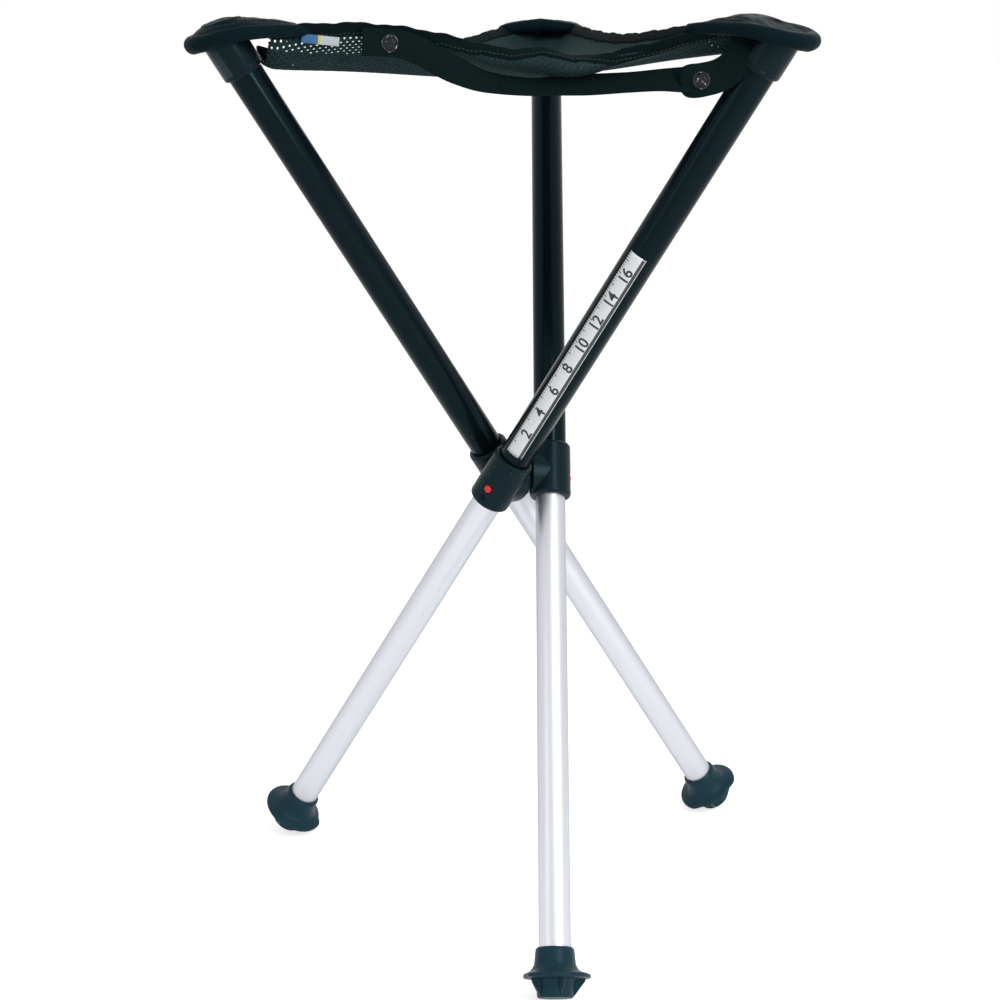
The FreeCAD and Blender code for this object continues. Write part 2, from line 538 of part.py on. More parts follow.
# The sling: a bowl, cut to three bowed edges and stopped short of the pockets.
def seat_mesh():
    body = new_body("seat_mesh", at("0", "0", SAG_BOTTOM))
    rings = ["SagRadius", "SlopeRadius", "ShoulderRadius", CLOTH_END]
    under = [(ring, f"{sag_height(ring)} - MeshThickness / 2") for ring in rings]
    over = [(ring, f"{sag_height(ring)} + MeshThickness / 2") for ring in reversed(rings)]
    turned(body, [("0", "-MeshThickness / 2")] + under + over + [("0", "MeshThickness / 2")])
    for turn in LEGS.values():
        edge = edge_turn(turn)
        x, y = f"{EDGE_CENTRE} * cos({edge} * 1deg)", f"{EDGE_CENTRE} * sin({edge} * 1deg)"
        shaped(body, "SubtractiveCylinder", at(x, y, "-2 * EdgeRise"),
               Radius=f"{EDGE_ARC} + BindingThickness + RingClearance", Height="4 * EdgeRise")
    return body


# A binding: the ring between two bowed edges, between two cones that follow the cloth.
def edge_binding(name, leg_turn):
    edge = edge_turn(leg_turn)
    band = new_body(f"{name}_band", at("0", "0", SAG_BOTTOM, f"rotationz({edge})"))
    rings = ["SlopeRadius", "ShoulderRadius", CLOTH_END]
    under = [(place, f"{sag_height(place)} - BindingBelow") for place in rings]
    over = [(place, f"{sag_height(place)} + BindingAbove") for place in reversed(rings)]
    turned(band, under + over, BAND_ANGLE, middle=True)
    ring = []
    for part_name, radius in (("outer", f"{EDGE_ARC} + BindingThickness"), ("inner", EDGE_ARC)):
        tool = doc.addObject("Part::Cylinder", f"{name}_{part_name}")
        bind(tool, Radius=radius, Height="4 * EdgeRise",
             Placement=at(f"{EDGE_CENTRE} * cos({edge} * 1deg)", f"{EDGE_CENTRE} * sin({edge} * 1deg)",
                          f"{SAG_BOTTOM} - 2 * EdgeRise"))
        ring.append(tool)
    wall = doc.addObject("Part::Cut", f"{name}_wall")
    wall.Base, wall.Tool = ring
    piece = doc.addObject("Part::Common", name)
    piece.Base, piece.Tool = band, wall
    piece.Label = name
    return piece


def near_edge(distance, along, height, yaw="0"):
    """A frame on the near edge: X runs to the right along it, Y inwards, and Z is up."""
    edge = f"({edge_turn(LEGS['a'])} * 1deg)"
    x = f"({distance}) * cos{edge} - {along} * sin{edge}"
    y = f"({distance}) * sin{edge} + {along} * cos{edge}"
    return at(x, y, height, f"rotationz({edge_turn(LEGS['a'])} + 90 - {yaw})")


def edge_depth(along):
    """How far the near edge's outer face lies from the hub's middle, at a place along it."""
    return f"({EDGE_CENTRE} - sqrt(pow({EDGE_ARC}; 2) - pow({along}; 2)))"


STRAP_FACE = f"({edge_depth('StrapStart')} + ClothGap)"
STRAP_PLACE = near_edge(STRAP_FACE, "(-StrapStart)", SEAT_LEVEL, "StrapYaw")


def on_strap(along, out, height):
    """A place measured from the strap's left end: along it, out from its back and above the seat's level."""
    return f"{STRAP_PLACE} * {at(along, f'-({out})', height)}"


# The carry strap hangs in two bows from its lowest place.
def carry_strap():
    body = new_body("carry_strap", STRAP_PLACE)
    low_at = "(StrapStart + StrapLowPlace)"
    stations = [("0", "StrapStartHeight")]
    for share in (0.25, 0.5, 0.75, 1):
        drop = f"(StrapStartHeight + StrapLowHeight) * pow(1 - {share}; 2) - StrapLowHeight"
        stations.append((f"{share} * {low_at}", drop))
    for share in (0.5, 1):
        rise = f"(StrapLowHeight - StrapEndHeight) * pow({share}; 2) - StrapLowHeight"
        stations.append((f"{low_at} + {share} * ({STRAP_END} - StrapLowPlace)", rise))
    upper = [(x, f"{z} + StrapWidth / 2") for x, z in stations]
    lower = [(x, f"{z} - StrapWidth / 2") for x, z in reversed(stations)]
    padded(body, "XZ_Plane", upper + lower, "StrapThickness")
    return body


# The tab at the right corner that the strap's end is snapped to.
def strap_tab():
    place = on_strap(f"StrapStart + {STRAP_END} - TabLap", "StrapThickness", "-StrapEndHeight")
    body = new_body("strap_tab", place)
    half = "(StrapWidth / 2)"
    nose = "(StrapWidth * TabNose / 2)"
    strip = [("0", nose), ("StrapWidth / 4", half), ("TabLength", f"TabRise + {half}"),
             ("TabLength", f"TabRise - {half}"), ("StrapWidth / 4", f"-{half}"), ("0", f"-{nose}")]
    padded(body, "XZ_Plane", strip, "StrapThickness")
    return body


# A press stud: a low round head on the face of the webbing.
def press_stud(name, along, out, height):
    body = new_body(name, on_strap(along, out, height))
    head = shaped(body, "AdditiveCylinder", at("0", "0", "0", "rotationx(90)"),
                  Radius="StudHeadRadius", Height="StudHeadHeight")
    face = number("StudHeadHeight")
    rounded(body, head, "StudHeadHeight / 2", lambda edge, middle: abs(middle.y + face) < 0.01)
    return body


# The small tag in the near edge's seam lies flat on the binding.
def seat_tag():
    yaw = f"(-asin(TagPlace / {EDGE_ARC}) / 1deg)"
    place = near_edge(f"{edge_depth('TagPlace')} + ClothGap", "(-TagPlace)", SEAT_LEVEL, yaw)
    body = new_body("seat_tag", place)
    shaped(body, "AdditiveBox", at("-TagLength / 2", "-TagThickness", "0"),
           Length="TagLength", Width="TagThickness", Height="TagHeight")
    return body


# The strip on leg a's tube.
def tube_label(turn):
    place = f"{leg_place(turn)} * {at('0', '0', '0', 'rotationz(LabelTurn)')}"
    body = new_body("tube_label", place)
    face = f"({UPPER_RADIUS} + RingClearance / 5)"
    strip = turned(body, [(face, "LabelStart"), (f"{face} + LabelThickness", "LabelStart"),
                          (f"{face} + LabelThickness", "LabelStart + LabelLength"),
                          (face, "LabelStart + LabelLength")], 60, middle=True)
    bind(strip, Angle="LabelSpan")
    return body


doc = FreeCAD.newDocument("TelescopicStool")
sheet = doc.addObject("Spreadsheet::Sheet", "Sizes")
for row, (size_name, size_value, meaning) in enumerate(SIZES, start=1):
    sheet.set(f"A{row}", meaning)
    sheet.set(f"B{row}", str(size_value))
    sheet.setAlias(f"B{row}", size_name)
doc.recompute()

pieces = [hub_core(), seat_mesh()]
for edge_name, leg_name in (("near", "a"), ("right", "b"), ("left", "c")):
    pieces.append(edge_binding(f"edge_binding_{edge_name}", LEGS[leg_name]))
pieces += [carry_strap(), strap_tab(), seat_tag(), tube_label(LEGS["a"])]
pieces.append(press_stud("press_stud_strap", "StudInset", "StrapThickness",
                         "StrapStartHeight - StudInset / 2"))
pieces.append(press_stud("press_stud_tab", f"StrapStart + {STRAP_END}", "2 * StrapThickness",
                         "StudRise - StrapEndHeight"))
for leg_name, leg_turn in LEGS.items():
    for make in (upper_tube, lower_tube, collar, guide_bush, slider_plug, lock_button, lock_spring,
                 pivot_screw, top_cap, foot):
        pieces.append(make(leg_name, leg_place(leg_turn)))
    pieces.append(corner_pocket(leg_name, leg_turn))
doc.recompute()

for thing in doc.Objects:
    if "Invalid" in thing.State or "Error" in thing.State:
        raise SystemExit(f"{thing.Label} failed: {thing.State}")
for piece in pieces:
    if piece.Shape.isNull() or not piece.Shape.isValid():
        raise SystemExit(f"{piece.Label} has no valid shape")
for piece in pieces:
    piece.Shape.exportStep(f"parts/{piece.Label}.step")
    box = piece.Shape.BoundBox
    print(f"{piece.Label}: {len(piece.Shape.Solids)} solid, {piece.Shape.Volume:.0f} mm3, "
          f"z {box.ZMin:.1f} to {box.ZMax:.1f}")
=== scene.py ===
# %% [markdown]
# A collapsible stool: three telescopic legs cross at a hub, and a triangle of mesh cloth hangs
# between their upper ends. The frame gives every hard piece its place and its size. This
# script gives the pieces their finish, and makes the cloth, the webbing and the leather corners.

# %% Load the frame
import json
import math
from functools import partial

import bmesh
import bpy
import numpy as np
from mathutils import Matrix, Vector, noise


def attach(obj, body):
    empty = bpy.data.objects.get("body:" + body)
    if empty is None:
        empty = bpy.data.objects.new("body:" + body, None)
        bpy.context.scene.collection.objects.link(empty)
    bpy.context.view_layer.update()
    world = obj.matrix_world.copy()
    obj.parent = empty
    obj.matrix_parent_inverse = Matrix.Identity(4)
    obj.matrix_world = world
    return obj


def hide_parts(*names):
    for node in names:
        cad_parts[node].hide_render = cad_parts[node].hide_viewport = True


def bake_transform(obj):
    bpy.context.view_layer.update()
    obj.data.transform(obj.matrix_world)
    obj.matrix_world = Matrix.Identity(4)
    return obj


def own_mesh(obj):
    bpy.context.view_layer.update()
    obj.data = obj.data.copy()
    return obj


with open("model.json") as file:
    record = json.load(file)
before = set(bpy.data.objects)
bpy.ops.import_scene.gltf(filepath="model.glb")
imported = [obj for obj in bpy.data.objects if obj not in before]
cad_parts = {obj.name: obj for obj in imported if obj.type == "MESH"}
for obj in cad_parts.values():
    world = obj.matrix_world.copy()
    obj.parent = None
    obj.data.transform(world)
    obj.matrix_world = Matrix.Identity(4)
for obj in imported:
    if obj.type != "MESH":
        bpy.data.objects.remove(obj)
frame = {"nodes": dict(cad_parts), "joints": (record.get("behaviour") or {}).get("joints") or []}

MM = 0.001
LEGS = ("a", "b", "c")
UP = Vector((0, 0, 1))
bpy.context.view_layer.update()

# %% [markdown]
# The camera stands level with the seat, 1.3 m in front of the hub, and looks down by about
# fourteen degrees. A long lens keeps the legs straight and nearly parallel, as in a catalogue.

# %% The camera
CAMERA_PLACE = Vector((0.2, -1318.2, 639.7)) * MM
CAMERA_DOWN = 0.252
CAMERA_TURN = 0.0083
CAMERA_ROLL = 0.006
LENS = 65.9


def placed(name, data):
    """A new object that holds the data, linked into the scene."""
    thing = bpy.data.objects.new(name, data)
    bpy.context.scene.collection.objects.link(thing)
    return thing


camera = placed("camera", bpy.data.cameras.new("camera"))
camera.data.lens = LENS
camera.data.sensor_width = 36
camera.location = CAMERA_PLACE
camera.rotation_euler = (math.pi / 2 - CAMERA_DOWN, CAMERA_ROLL, CAMERA_TURN)
bpy.context.scene.camera = camera
print("camera at", tuple(camera.location))

# %% [markdown]
# A white floor that goes on to the horizon stands in for a studio sweep. To the camera, and in
# reflections, it glows just enough to be white, and the diffuse part still takes the shadow.

# %% The floor
FLOOR_SIZE = 60.0
FLOOR_GLOW = 0.66


def feed(tree, socket, value):
    """Links a socket to another one, or sets its plain value."""
    if isinstance(value, bpy.types.NodeSocket):
        tree.links.new(value, socket)
    else:
        socket.default_value = value


def new_node(tree, kind, settings=None, **inputs):
    """A node with its settings, whose inputs take sockets or plain values; gives its outputs."""
    node = tree.nodes.new(kind)
    for name, value in (settings or {}).items():
        setattr(node, name, value)
    for label, value in inputs.items():
        feed(tree, node.inputs[label.replace("_", " ")], value)
    return node.outputs


def math_node(tree, operation, *values):
    """A math node whose inputs are sockets or plain numbers; gives its output socket."""
    node = tree.nodes.new("ShaderNodeMath")
    node.operation = operation
    for socket, value in zip(node.inputs, values):
        feed(tree, socket, value)
    return node.outputs[0]


def white_to_the_eye(tree, strength):
    """A factor that is strength for camera, glossy and transmitted rays, and 0 for the others."""
    path = tree.nodes.new("ShaderNodeLightPath").outputs
    either = math_node(tree, "MAXIMUM", path["Is Camera Ray"], path["Is Glossy Ray"])
    seen = math_node(tree, "MAXIMUM", either, path["Is Transmission Ray"])
    return math_node(tree, "MULTIPLY", seen, strength)


def new_material(name, **sockets):
    """A material, its node tree and its shader, whose own sockets take the plain values."""
    material = bpy.data.materials.new(name)
    material.use_nodes = True
    shader = material.node_tree.nodes["Principled BSDF"]
    for label, value in sockets.items():
        shader.inputs[label.replace("_", " ")].default_value = value
    return material, material.node_tree, shader


def make_floor():
    mesh = bpy.data.meshes.new("floor")
    half = FLOOR_SIZE / 2
    corners = [(-half, -half, 0), (half, -half, 0), (half, half, 0), (-half, half, 0)]
    mesh.from_pydata(corners, [], [(0, 1, 2, 3)])
    material, tree, shader = new_material(
        "pale_floor", Base_Color=(0.86, 0.865, 0.87, 1), Roughness=0.9, Specular_IOR_Level=0.1,
        Emission_Color=(1, 1, 1, 1))
    tree.links.new(white_to_the_eye(tree, FLOOR_GLOW), shader.inputs["Emission Strength"])
    mesh.materials.append(material)
    floor = placed("floor", mesh)


make_floor()
print("floor", FLOOR_SIZE, "m square")

# %% [markdown]
# The world is a pale grey room for the light, and white to the eye. Three soft boxes do the
# rest: a tall narrow one on the right draws the long highlight on the tubes, one on the left
# lifts the shadow side, and one behind draws the thin light line on the edges.

# %% The light
WORLD_LIGHT = 0.42


def make_world():
    world = bpy.data.worlds.new("pale_room")
    bpy.context.scene.world = world
    world.use_nodes = True
    tree = world.node_tree
    background = tree.nodes["Background"]
    background.inputs["Color"].default_value = (1, 1, 1, 1)
    seen = white_to_the_eye(tree, 1.0)
    scale = new_node(tree, "ShaderNodeMapRange", Value=seen, To_Min=WORLD_LIGHT, To_Max=1.0)
    tree.links.new(scale["Result"], background.inputs["Strength"])


def soft_box(name, place, aim, size, power):
    data = bpy.data.lights.new(name, "AREA")
    data.shape = "RECTANGLE"
    data.size, data.size_y = size
    data.energy = power
    light = placed(name, data)
    light.location = place
    light.rotation_euler = (Vector(aim) - Vector(place)).to_track_quat("-Z", "Y").to_euler()


make_world()
soft_box("key_box", (1.05, -1.5, 1.4), (0, 0, 0.35), (0.22, 1.7), 28)
soft_box("fill_box", (-1.6, -1.3, 0.9), (0, 0, 0.35), (0.26, 1.5), 3)
soft_box("back_box", (0.4, 1.8, 1.5), (0, 0, 0.4), (1.6, 0.8), 5)
bpy.context.scene.view_settings.view_transform = "Standard"
print("world light", WORLD_LIGHT, "and three soft boxes")

# %% [markdown]
# Materials come from a few shared effects. Each is a node group with named inputs, built once:
# a slow drift of colour, a fine moulded grain, a painted highlight on sharp edges, and a woven
# surface that reads the piece's own UV map in metres, so that the yarns follow the strap or the tape.

# %% Helpers for node trees
FLOAT = "NodeSocketFloat"
COLOUR = "NodeSocketColor"


def new_tree(kind, name, inputs, outputs):
    """An empty tree, its end nodes and its inputs' identifiers; inputs are (name, kind, value)."""
    tree = bpy.data.node_groups.new(name, kind)
    sockets = {}
    for label, sort, value in inputs:
        socket = tree.interface.new_socket(name=label, in_out="INPUT", socket_type=sort)
        sockets[label] = socket.identifier
        if value is not None:
            socket.default_value = value
    for label, sort in outputs:
        tree.interface.new_socket(name=label, in_out="OUTPUT", socket_type=sort)
    return tree, tree.nodes.new("NodeGroupInput"), tree.nodes.new("NodeGroupOutput"), sockets


def mixed_colour(tree, factor, first, second):
    """A colour mix whose inputs are sockets or colours."""
    node = tree.nodes.new("ShaderNodeMix")
    node.data_type = "RGBA"
    tree.links.new(factor, node.inputs["Factor"])
    for label, value in (("A", first), ("B", second)):
        feed(tree, next(s for s in node.inputs if s.name == label and s.type == "RGBA"), value)
    return next(s for s in node.outputs if s.type == "RGBA")


def noise_node(tree, vector, scale, detail=3.0):
    """A noise value, whose scale is a socket or a plain number."""
    return new_node(tree, "ShaderNodeTexNoise", Vector=vector, Scale=scale, Detail=detail)["Fac"]


def coordinates(tree, kind):
    return tree.nodes.new("ShaderNodeTexCoord").outputs[kind]


def split_uv(tree):
    """The two numbers of the piece's UV map."""
    split = new_node(tree, "ShaderNodeSeparateXYZ", Vector=coordinates(tree, "UV"))
    return split[0], split[1]


# %% The shared effects
SLOW_SHARE = 0.65
FINE_SHARE = 0.35
HIGHLIGHT_STEEPNESS = 14.0


def shader_group(name, inputs, outputs):
    """A shader group, its math helper, its input sockets, and a function that sends values out."""
    group, entry, leave, _ = new_tree("ShaderNodeTree", name, inputs, outputs)

    def send(**values):
        for label, value in values.items():
            group.links.new(value, leave.inputs[label])
        return group

    return group, partial(math_node, group), entry.outputs, send


def build_drift():
    """Colour and roughness that wander slowly over the surface, with a finer mottle on top."""
    inputs = [
        ("Colour", COLOUR, (0.1, 0.1, 0.1, 1)), ("Second colour", COLOUR, (0.12, 0.12, 0.12, 1)),
        ("Scale", FLOAT, 40.0), ("Roughness", FLOAT, 0.4), ("Spread", FLOAT, 0.08),
    ]
    group, calc, given, send = shader_group("drift", inputs, [("Colour", COLOUR), ("Roughness", FLOAT)])
    place = coordinates(group, "Object")
    slow = noise_node(group, place, given["Scale"], 2.0)
    fine = noise_node(group, place, calc("MULTIPLY", given["Scale"], 9.0), 4.0)
    both = calc("ADD", calc("MULTIPLY", slow, SLOW_SHARE), calc("MULTIPLY", fine, FINE_SHARE))
    factor = calc("SMOOTH_MIN", both, 1.0, 0.1)
    colour = mixed_colour(group, factor, given["Colour"], given["Second colour"])
    swing = calc("MULTIPLY", calc("SUBTRACT", both, 0.5), given["Spread"])
    rough = calc("ADD", given["Roughness"], calc("MULTIPLY", swing, 4.0))
    return send(Colour=colour, Roughness=rough)


def build_grain():
    """The fine sparkle of a moulded or coated surface, as a height."""
    inputs = [("Scale", FLOAT, 1500.0), ("Height", FLOAT, 1.0)]
    group, calc, given, send = shader_group("grain", inputs, [("Height", FLOAT)])
    place = coordinates(group, "Object")
    fine = noise_node(group, place, given["Scale"], 3.0)
    coarse = noise_node(group, place, calc("MULTIPLY", given["Scale"], 0.31), 2.0)
    summed = calc("ADD", fine, calc("MULTIPLY", coarse, 0.6))
    return send(Height=calc("MULTIPLY", summed, given["Height"]))


def build_edge_highlight():
    """A mask that is 1 on sharp outer edges, broken up by noise, where a highlight is painted."""
    inputs = [("Sharpness", FLOAT, 0.56), ("Scale", FLOAT, 300.0)]
    group, calc, given, send = shader_group("edge_wear", inputs, [("Mask", FLOAT)])
    geometry = group.nodes.new("ShaderNodeNewGeometry")
    broken = noise_node(group, coordinates(group, "Object"), given["Scale"], 4.0)
    over = calc("SUBTRACT", geometry.outputs["Pointiness"], given["Sharpness"])
    kept = calc("MULTIPLY", calc("MULTIPLY", over, HIGHLIGHT_STEEPNESS), broken)
    return send(Mask=calc("MINIMUM", calc("MAXIMUM", kept, 0.0), 1.0))


def build_weave():
    """A plain weave over the UV map, whose U and V are metres along and across the piece."""
    inputs = [("Along", FLOAT, 0.0011), ("Across", FLOAT, 0.0014), ("Slant", FLOAT, 0.0)]
    group, calc, given, send = shader_group("weave", inputs, [("Height", FLOAT), ("Over", FLOAT)])
    along, across = split_uv(group)
    slanted = calc("ADD", along, calc("MULTIPLY", across, given["Slant"]))
    turns = 2 * math.pi
    wave_one = calc("SINE", calc("MULTIPLY", calc("DIVIDE", slanted, given["Along"]), turns))
    wave_two = calc("SINE", calc("MULTIPLY", calc("DIVIDE", across, given["Across"]), turns))
    product = calc("MULTIPLY", wave_one, wave_two)
    height = calc("ADD", calc("MULTIPLY", product, 0.5), calc("ABSOLUTE", wave_two))
    over = calc("ADD", calc("MULTIPLY", product, 0.5), 0.5)
    return send(Height=height, Over=over)


EFFECTS = {
    "drift": build_drift(),
    "grain": build_grain(),
    "lit_edges": build_edge_highlight(),
    "weave": build_weave(),
}
print("shared effects", sorted(EFFECTS))

# %% [markdown]
# One function makes every material: it sets the plain values on the shader's own sockets, lets
# the drift group wander the colour and the roughness, and feeds a bump from the grain. Where a
# finish lists edges, it paints a pale highlight on them, and where it has a weave, it adds that.
# The special ones add their own nodes afterwards.

# %% The material builder


def use_effect(tree, effect, **values):
    node = tree.nodes.new("ShaderNodeGroup")
    node.node_tree = EFFECTS[effect]
    for label, value in values.items():
        node.inputs[label.replace("_", " ")].default_value = value
    return node


def finish(name, colour, second, rough, spread=0.05, scale=40.0, grain=(1500.0, 0.00002),
           edges=None, weave=None, **sockets):
    """Drifting colour and roughness over a grain; gives the material, shader, bump and colour."""
    material, tree, shader = new_material(name, **sockets)
    drift = use_effect(tree, "drift", Colour=(*colour, 1), Second_colour=(*second, 1), Scale=scale,
                       Roughness=rough, Spread=spread)
    base = drift.outputs["Colour"]
    bump = tree.nodes.new("ShaderNodeBump")
    grain_scale, bump.inputs["Distance"].default_value = grain
    if grain_scale > 0:
        tree.links.new(use_effect(tree, "grain", Scale=grain_scale).outputs["Height"], bump.inputs["Height"])
    # A pale colour on the sharp edges paints the highlight that those edges catch.
    if edges:
        lit_edges = use_effect(tree, "lit_edges", Sharpness=edges[1])
        base = mixed_colour(tree, lit_edges.outputs["Mask"], base, (*edges[0], 1))
    if weave:
        (low, high), bump.inputs["Distance"].default_value, (along, across, slant) = weave
        yarns = use_effect(tree, "weave", Along=along, Across=across, Slant=slant)
        tree.links.new(yarns.outputs["Height"], bump.inputs["Height"])
        base = mixed_colour(tree, yarns.outputs["Over"], (*low, 1), (*high, 1))
    tree.links.new(base, shader.inputs["Base Color"])
    tree.links.new(drift.outputs["Roughness"], shader.inputs["Roughness"])
    tree.links.new(bump.outputs["Normal"], shader.inputs["Normal"])
    return material, shader, bump, base


# %% [markdown]
# The blacks of the photograph are never plain black: the moulded parts and the tubes lean
# towards teal and navy, and the feet are lighter still. The silver tubes are satin, with a
# faint lavender tint, so their base colour is nearly white and their roughness is middling.

# %% The plain finishes
TEAL_GLOSS = {"Specular_IOR_Level": 0.12, "Specular_Tint": (0.50, 0.92, 1.0, 1)}
SOFT_GLOSS = {"Specular_IOR_Level": 0.018, "Specular_Tint": (0.55, 0.92, 1.0, 1)}
# The edges entries paint a pale highlight on sharp edges: a faint one on the moulded parts, caps and feet,
# and a bright one on the press studs.
FINISHES = {
    "moulded_black": dict(
        colour=(0.0040, 0.0105, 0.0145), second=(0.0062, 0.0150, 0.0195), rough=0.34, scale=60.0,
        grain=(900.0, 0.00004), edges=((0.10, 0.16, 0.18), 0.545), **TEAL_GLOSS),
    "cap_black": dict(
        colour=(0.0030, 0.0074, 0.0105), second=(0.0050, 0.0108, 0.0148), rough=0.30, scale=50.0,
        grain=(1100.0, 0.00003), edges=((0.028, 0.042, 0.048), 0.54), **TEAL_GLOSS),
    "black_tube": dict(
        colour=(0.0022, 0.0050, 0.0072), second=(0.0034, 0.0072, 0.0100), rough=0.21, spread=0.03, scale=26.0,
        grain=(2600.0, 0.00001), Specular_IOR_Level=0.10, Specular_Tint=(0.45, 0.92, 1.0, 1)),
    "silver_tube": dict(
        colour=(0.61, 0.625, 0.665), second=(0.65, 0.665, 0.70), rough=0.42, spread=0.03, scale=18.0,
        grain=(2200.0, 0.00001), Metallic=1.0, Specular_Tint=(0.52, 0.54, 0.57, 1)),
    "red_button": dict(
        colour=(0.66, 0.012, 0.012), second=(0.74, 0.025, 0.022), rough=0.30, spread=0.03, scale=200.0,
        grain=(2500.0, 0.00001), Specular_IOR_Level=0.3, Coat_Weight=0.15),
    "foot_rubber": dict(
        colour=(0.0100, 0.0310, 0.0450), second=(0.0150, 0.0430, 0.0600), rough=0.40, spread=0.06, scale=70.0,
        grain=(1200.0, 0.00004), edges=((0.035, 0.065, 0.075), 0.54), **TEAL_GLOSS),
    "screw_steel": dict(
        colour=(0.42, 0.43, 0.44), second=(0.52, 0.53, 0.54), rough=0.32, spread=0.06, scale=300.0,
        grain=(3000.0, 0.00001), Metallic=1.0),
    "spring_steel": dict(
        colour=(0.36, 0.37, 0.39), second=(0.47, 0.48, 0.50), rough=0.28, scale=260.0,
        grain=(3000.0, 0.00001), Metallic=1.0),
    "bush_plastic": dict(colour=(0.20, 0.21, 0.22), second=(0.26, 0.27, 0.28), rough=0.5, scale=120.0),
    # The near-white edge colour paints the bright highlight on the stud's ring.
    "stud_metal": dict(
        colour=(0.010, 0.012, 0.013), second=(0.026, 0.029, 0.031), rough=0.20, spread=0.10, scale=700.0,
        grain=(2600.0, 0.00001), edges=((0.75, 0.76, 0.77), 0.515), Metallic=0.75),
    "mesh_fabric": dict(
        colour=(0.0150, 0.0320, 0.0350), second=(0.0250, 0.0480, 0.0510), rough=0.58, spread=0.06, scale=90.0,
        grain=(5200.0, 0.00006), Sheen_Weight=0.03, Sheen_Roughness=0.35, Sheen_Tint=(0.62, 0.72, 0.70, 1),
        **SOFT_GLOSS),
    "binding_tape": dict(
        colour=(0.003, 0.007, 0.008), second=(0.006, 0.012, 0.013), rough=0.62,
        weave=(((0.0026, 0.0064, 0.0072), (0.0075, 0.0150, 0.0165)), 0.00012, (0.0011, 0.0008, 0.9)),
        **SOFT_GLOSS),
    "webbing": dict(
        colour=(0.003, 0.007, 0.008), second=(0.006, 0.012, 0.013), rough=0.66,
        weave=(((0.0026, 0.0068, 0.0072), (0.0095, 0.0185, 0.0195)), 0.00020, (0.0016, 0.0021, 0.0)),
        **SOFT_GLOSS),
    "sewing_thread": dict(
        colour=(0.008, 0.014, 0.016), second=(0.015, 0.024, 0.027), rough=0.55, scale=900.0,
        grain=(4000.0, 0.00002)),
}
MATERIALS = {name: finish(name, **values)[0] for name, values in FINISHES.items()}
print(len(MATERIALS), "plain finishes")

# %% [markdown]
# Three finishes need nodes of their own. The leather is smooth and coated, with a pebbled grain and
# fine creases. The tag is satin ribbon in two colours with a thin line between them. The label is
# printed vinyl: a pale face with a plain scale of ticks at one edge and a dark band near the other.

# %% The leather, the tag and the label
PEBBLE_SCALE = 950.0
CREASE_SCALE = 160.0
TAG_LINE_FROM = 0.0108
TAG_PALE_FROM = 0.0125
SHORT_TICK = (0.002, 0.00050, 0.0017)
LONG_TICK = (0.010, 0.00070, 0.0029)
BAND_FROM = 0.0106
BAND_TO = 0.0129


def make_leather():
    leather, _, bump, _ = finish(
        "pocket_leather", (0.0028, 0.0100, 0.0130), (0.0050, 0.0150, 0.0190), 0.42, 0.10, 55.0,
        (0.0, 0.00016), **SOFT_GLOSS)
    tree = leather.node_tree
    calc = partial(math_node, tree)
    place = coordinates(tree, "Object")
    feature = {"feature": "DISTANCE_TO_EDGE"}
    cells = new_node(tree, "ShaderNodeTexVoronoi", feature, Vector=place, Scale=PEBBLE_SCALE)
    pebbles = calc("MINIMUM", calc("MULTIPLY", cells["Distance"], 3.0), 1.0)
    creases = noise_node(tree, place, CREASE_SCALE, 5.0)
    tree.links.new(calc("ADD", pebbles, calc("MULTIPLY", creases, 1.6)), bump.inputs["Height"])
    return leather


def make_tag_cloth():
    cloth, shader, _, base = finish(
        "tag_cloth", (0.020, 0.105, 0.235), (0.030, 0.130, 0.270), 0.5, 0.05, 300.0, (4200.0, 0.00002))
    tree = cloth.node_tree
    along, _ = split_uv(tree)
    line = math_node(tree, "GREATER_THAN", along, TAG_LINE_FROM)
    pale = math_node(tree, "GREATER_THAN", along, TAG_PALE_FROM)
    part = mixed_colour(tree, line, base, (0.55, 0.45, 0.06, 1))
    whole = mixed_colour(tree, pale, part, (0.42, 0.47, 0.49, 1))
    tree.links.new(whole, shader.inputs["Base Color"])
    return cloth


def printed_ticks(calc, along, across, tick):
    """A mask of printed lines along the label; a tick is its pitch, its width and its length."""
    pitch, width, length = tick
    wave = calc("PINGPONG", calc("DIVIDE", along, pitch), 0.5)
    line = calc("LESS_THAN", wave, width / pitch / 2)
    return calc("MULTIPLY", line, calc("LESS_THAN", across, length))


def make_label_film():
    film, shader, _, base = finish(
        "label_film", (0.70, 0.72, 0.75), (0.76, 0.78, 0.80), 0.34, 0.03, 30.0, (2400.0, 0.00001),
        Coat_Weight=0.4)
    tree = film.node_tree
    calc = partial(math_node, tree)
    along, across = split_uv(tree)
    short, tall = (printed_ticks(calc, along, across, tick) for tick in (SHORT_TICK, LONG_TICK))
    over, below = calc("GREATER_THAN", across, BAND_FROM), calc("LESS_THAN", across, BAND_TO)
    ink = calc("MAXIMUM", calc("MAXIMUM", short, tall), calc("MULTIPLY", over, below))
    tree.links.new(mixed_colour(tree, ink, base, (0.010, 0.016, 0.019, 1)), shader.inputs["Base Color"])
    return film


MATERIALS["pocket_leather"] = make_leather()
MATERIALS["tag_cloth"] = make_tag_cloth()
MATERIALS["label_film"] = make_label_film()
print(len(MATERIALS), "finishes in all")

# %% [markdown]
# Every leg has its own axes: X points away from the hub, Z runs up along the tube and Y goes
# round it. They come from the joints, so a turned piece is drawn about its own tube and then
# put in place with one matrix, and each leg is made by the same functions.

# %% The legs' axes
JOINTS = {joint["name"]: joint for joint in frame["joints"]}
NODES = frame["nodes"]


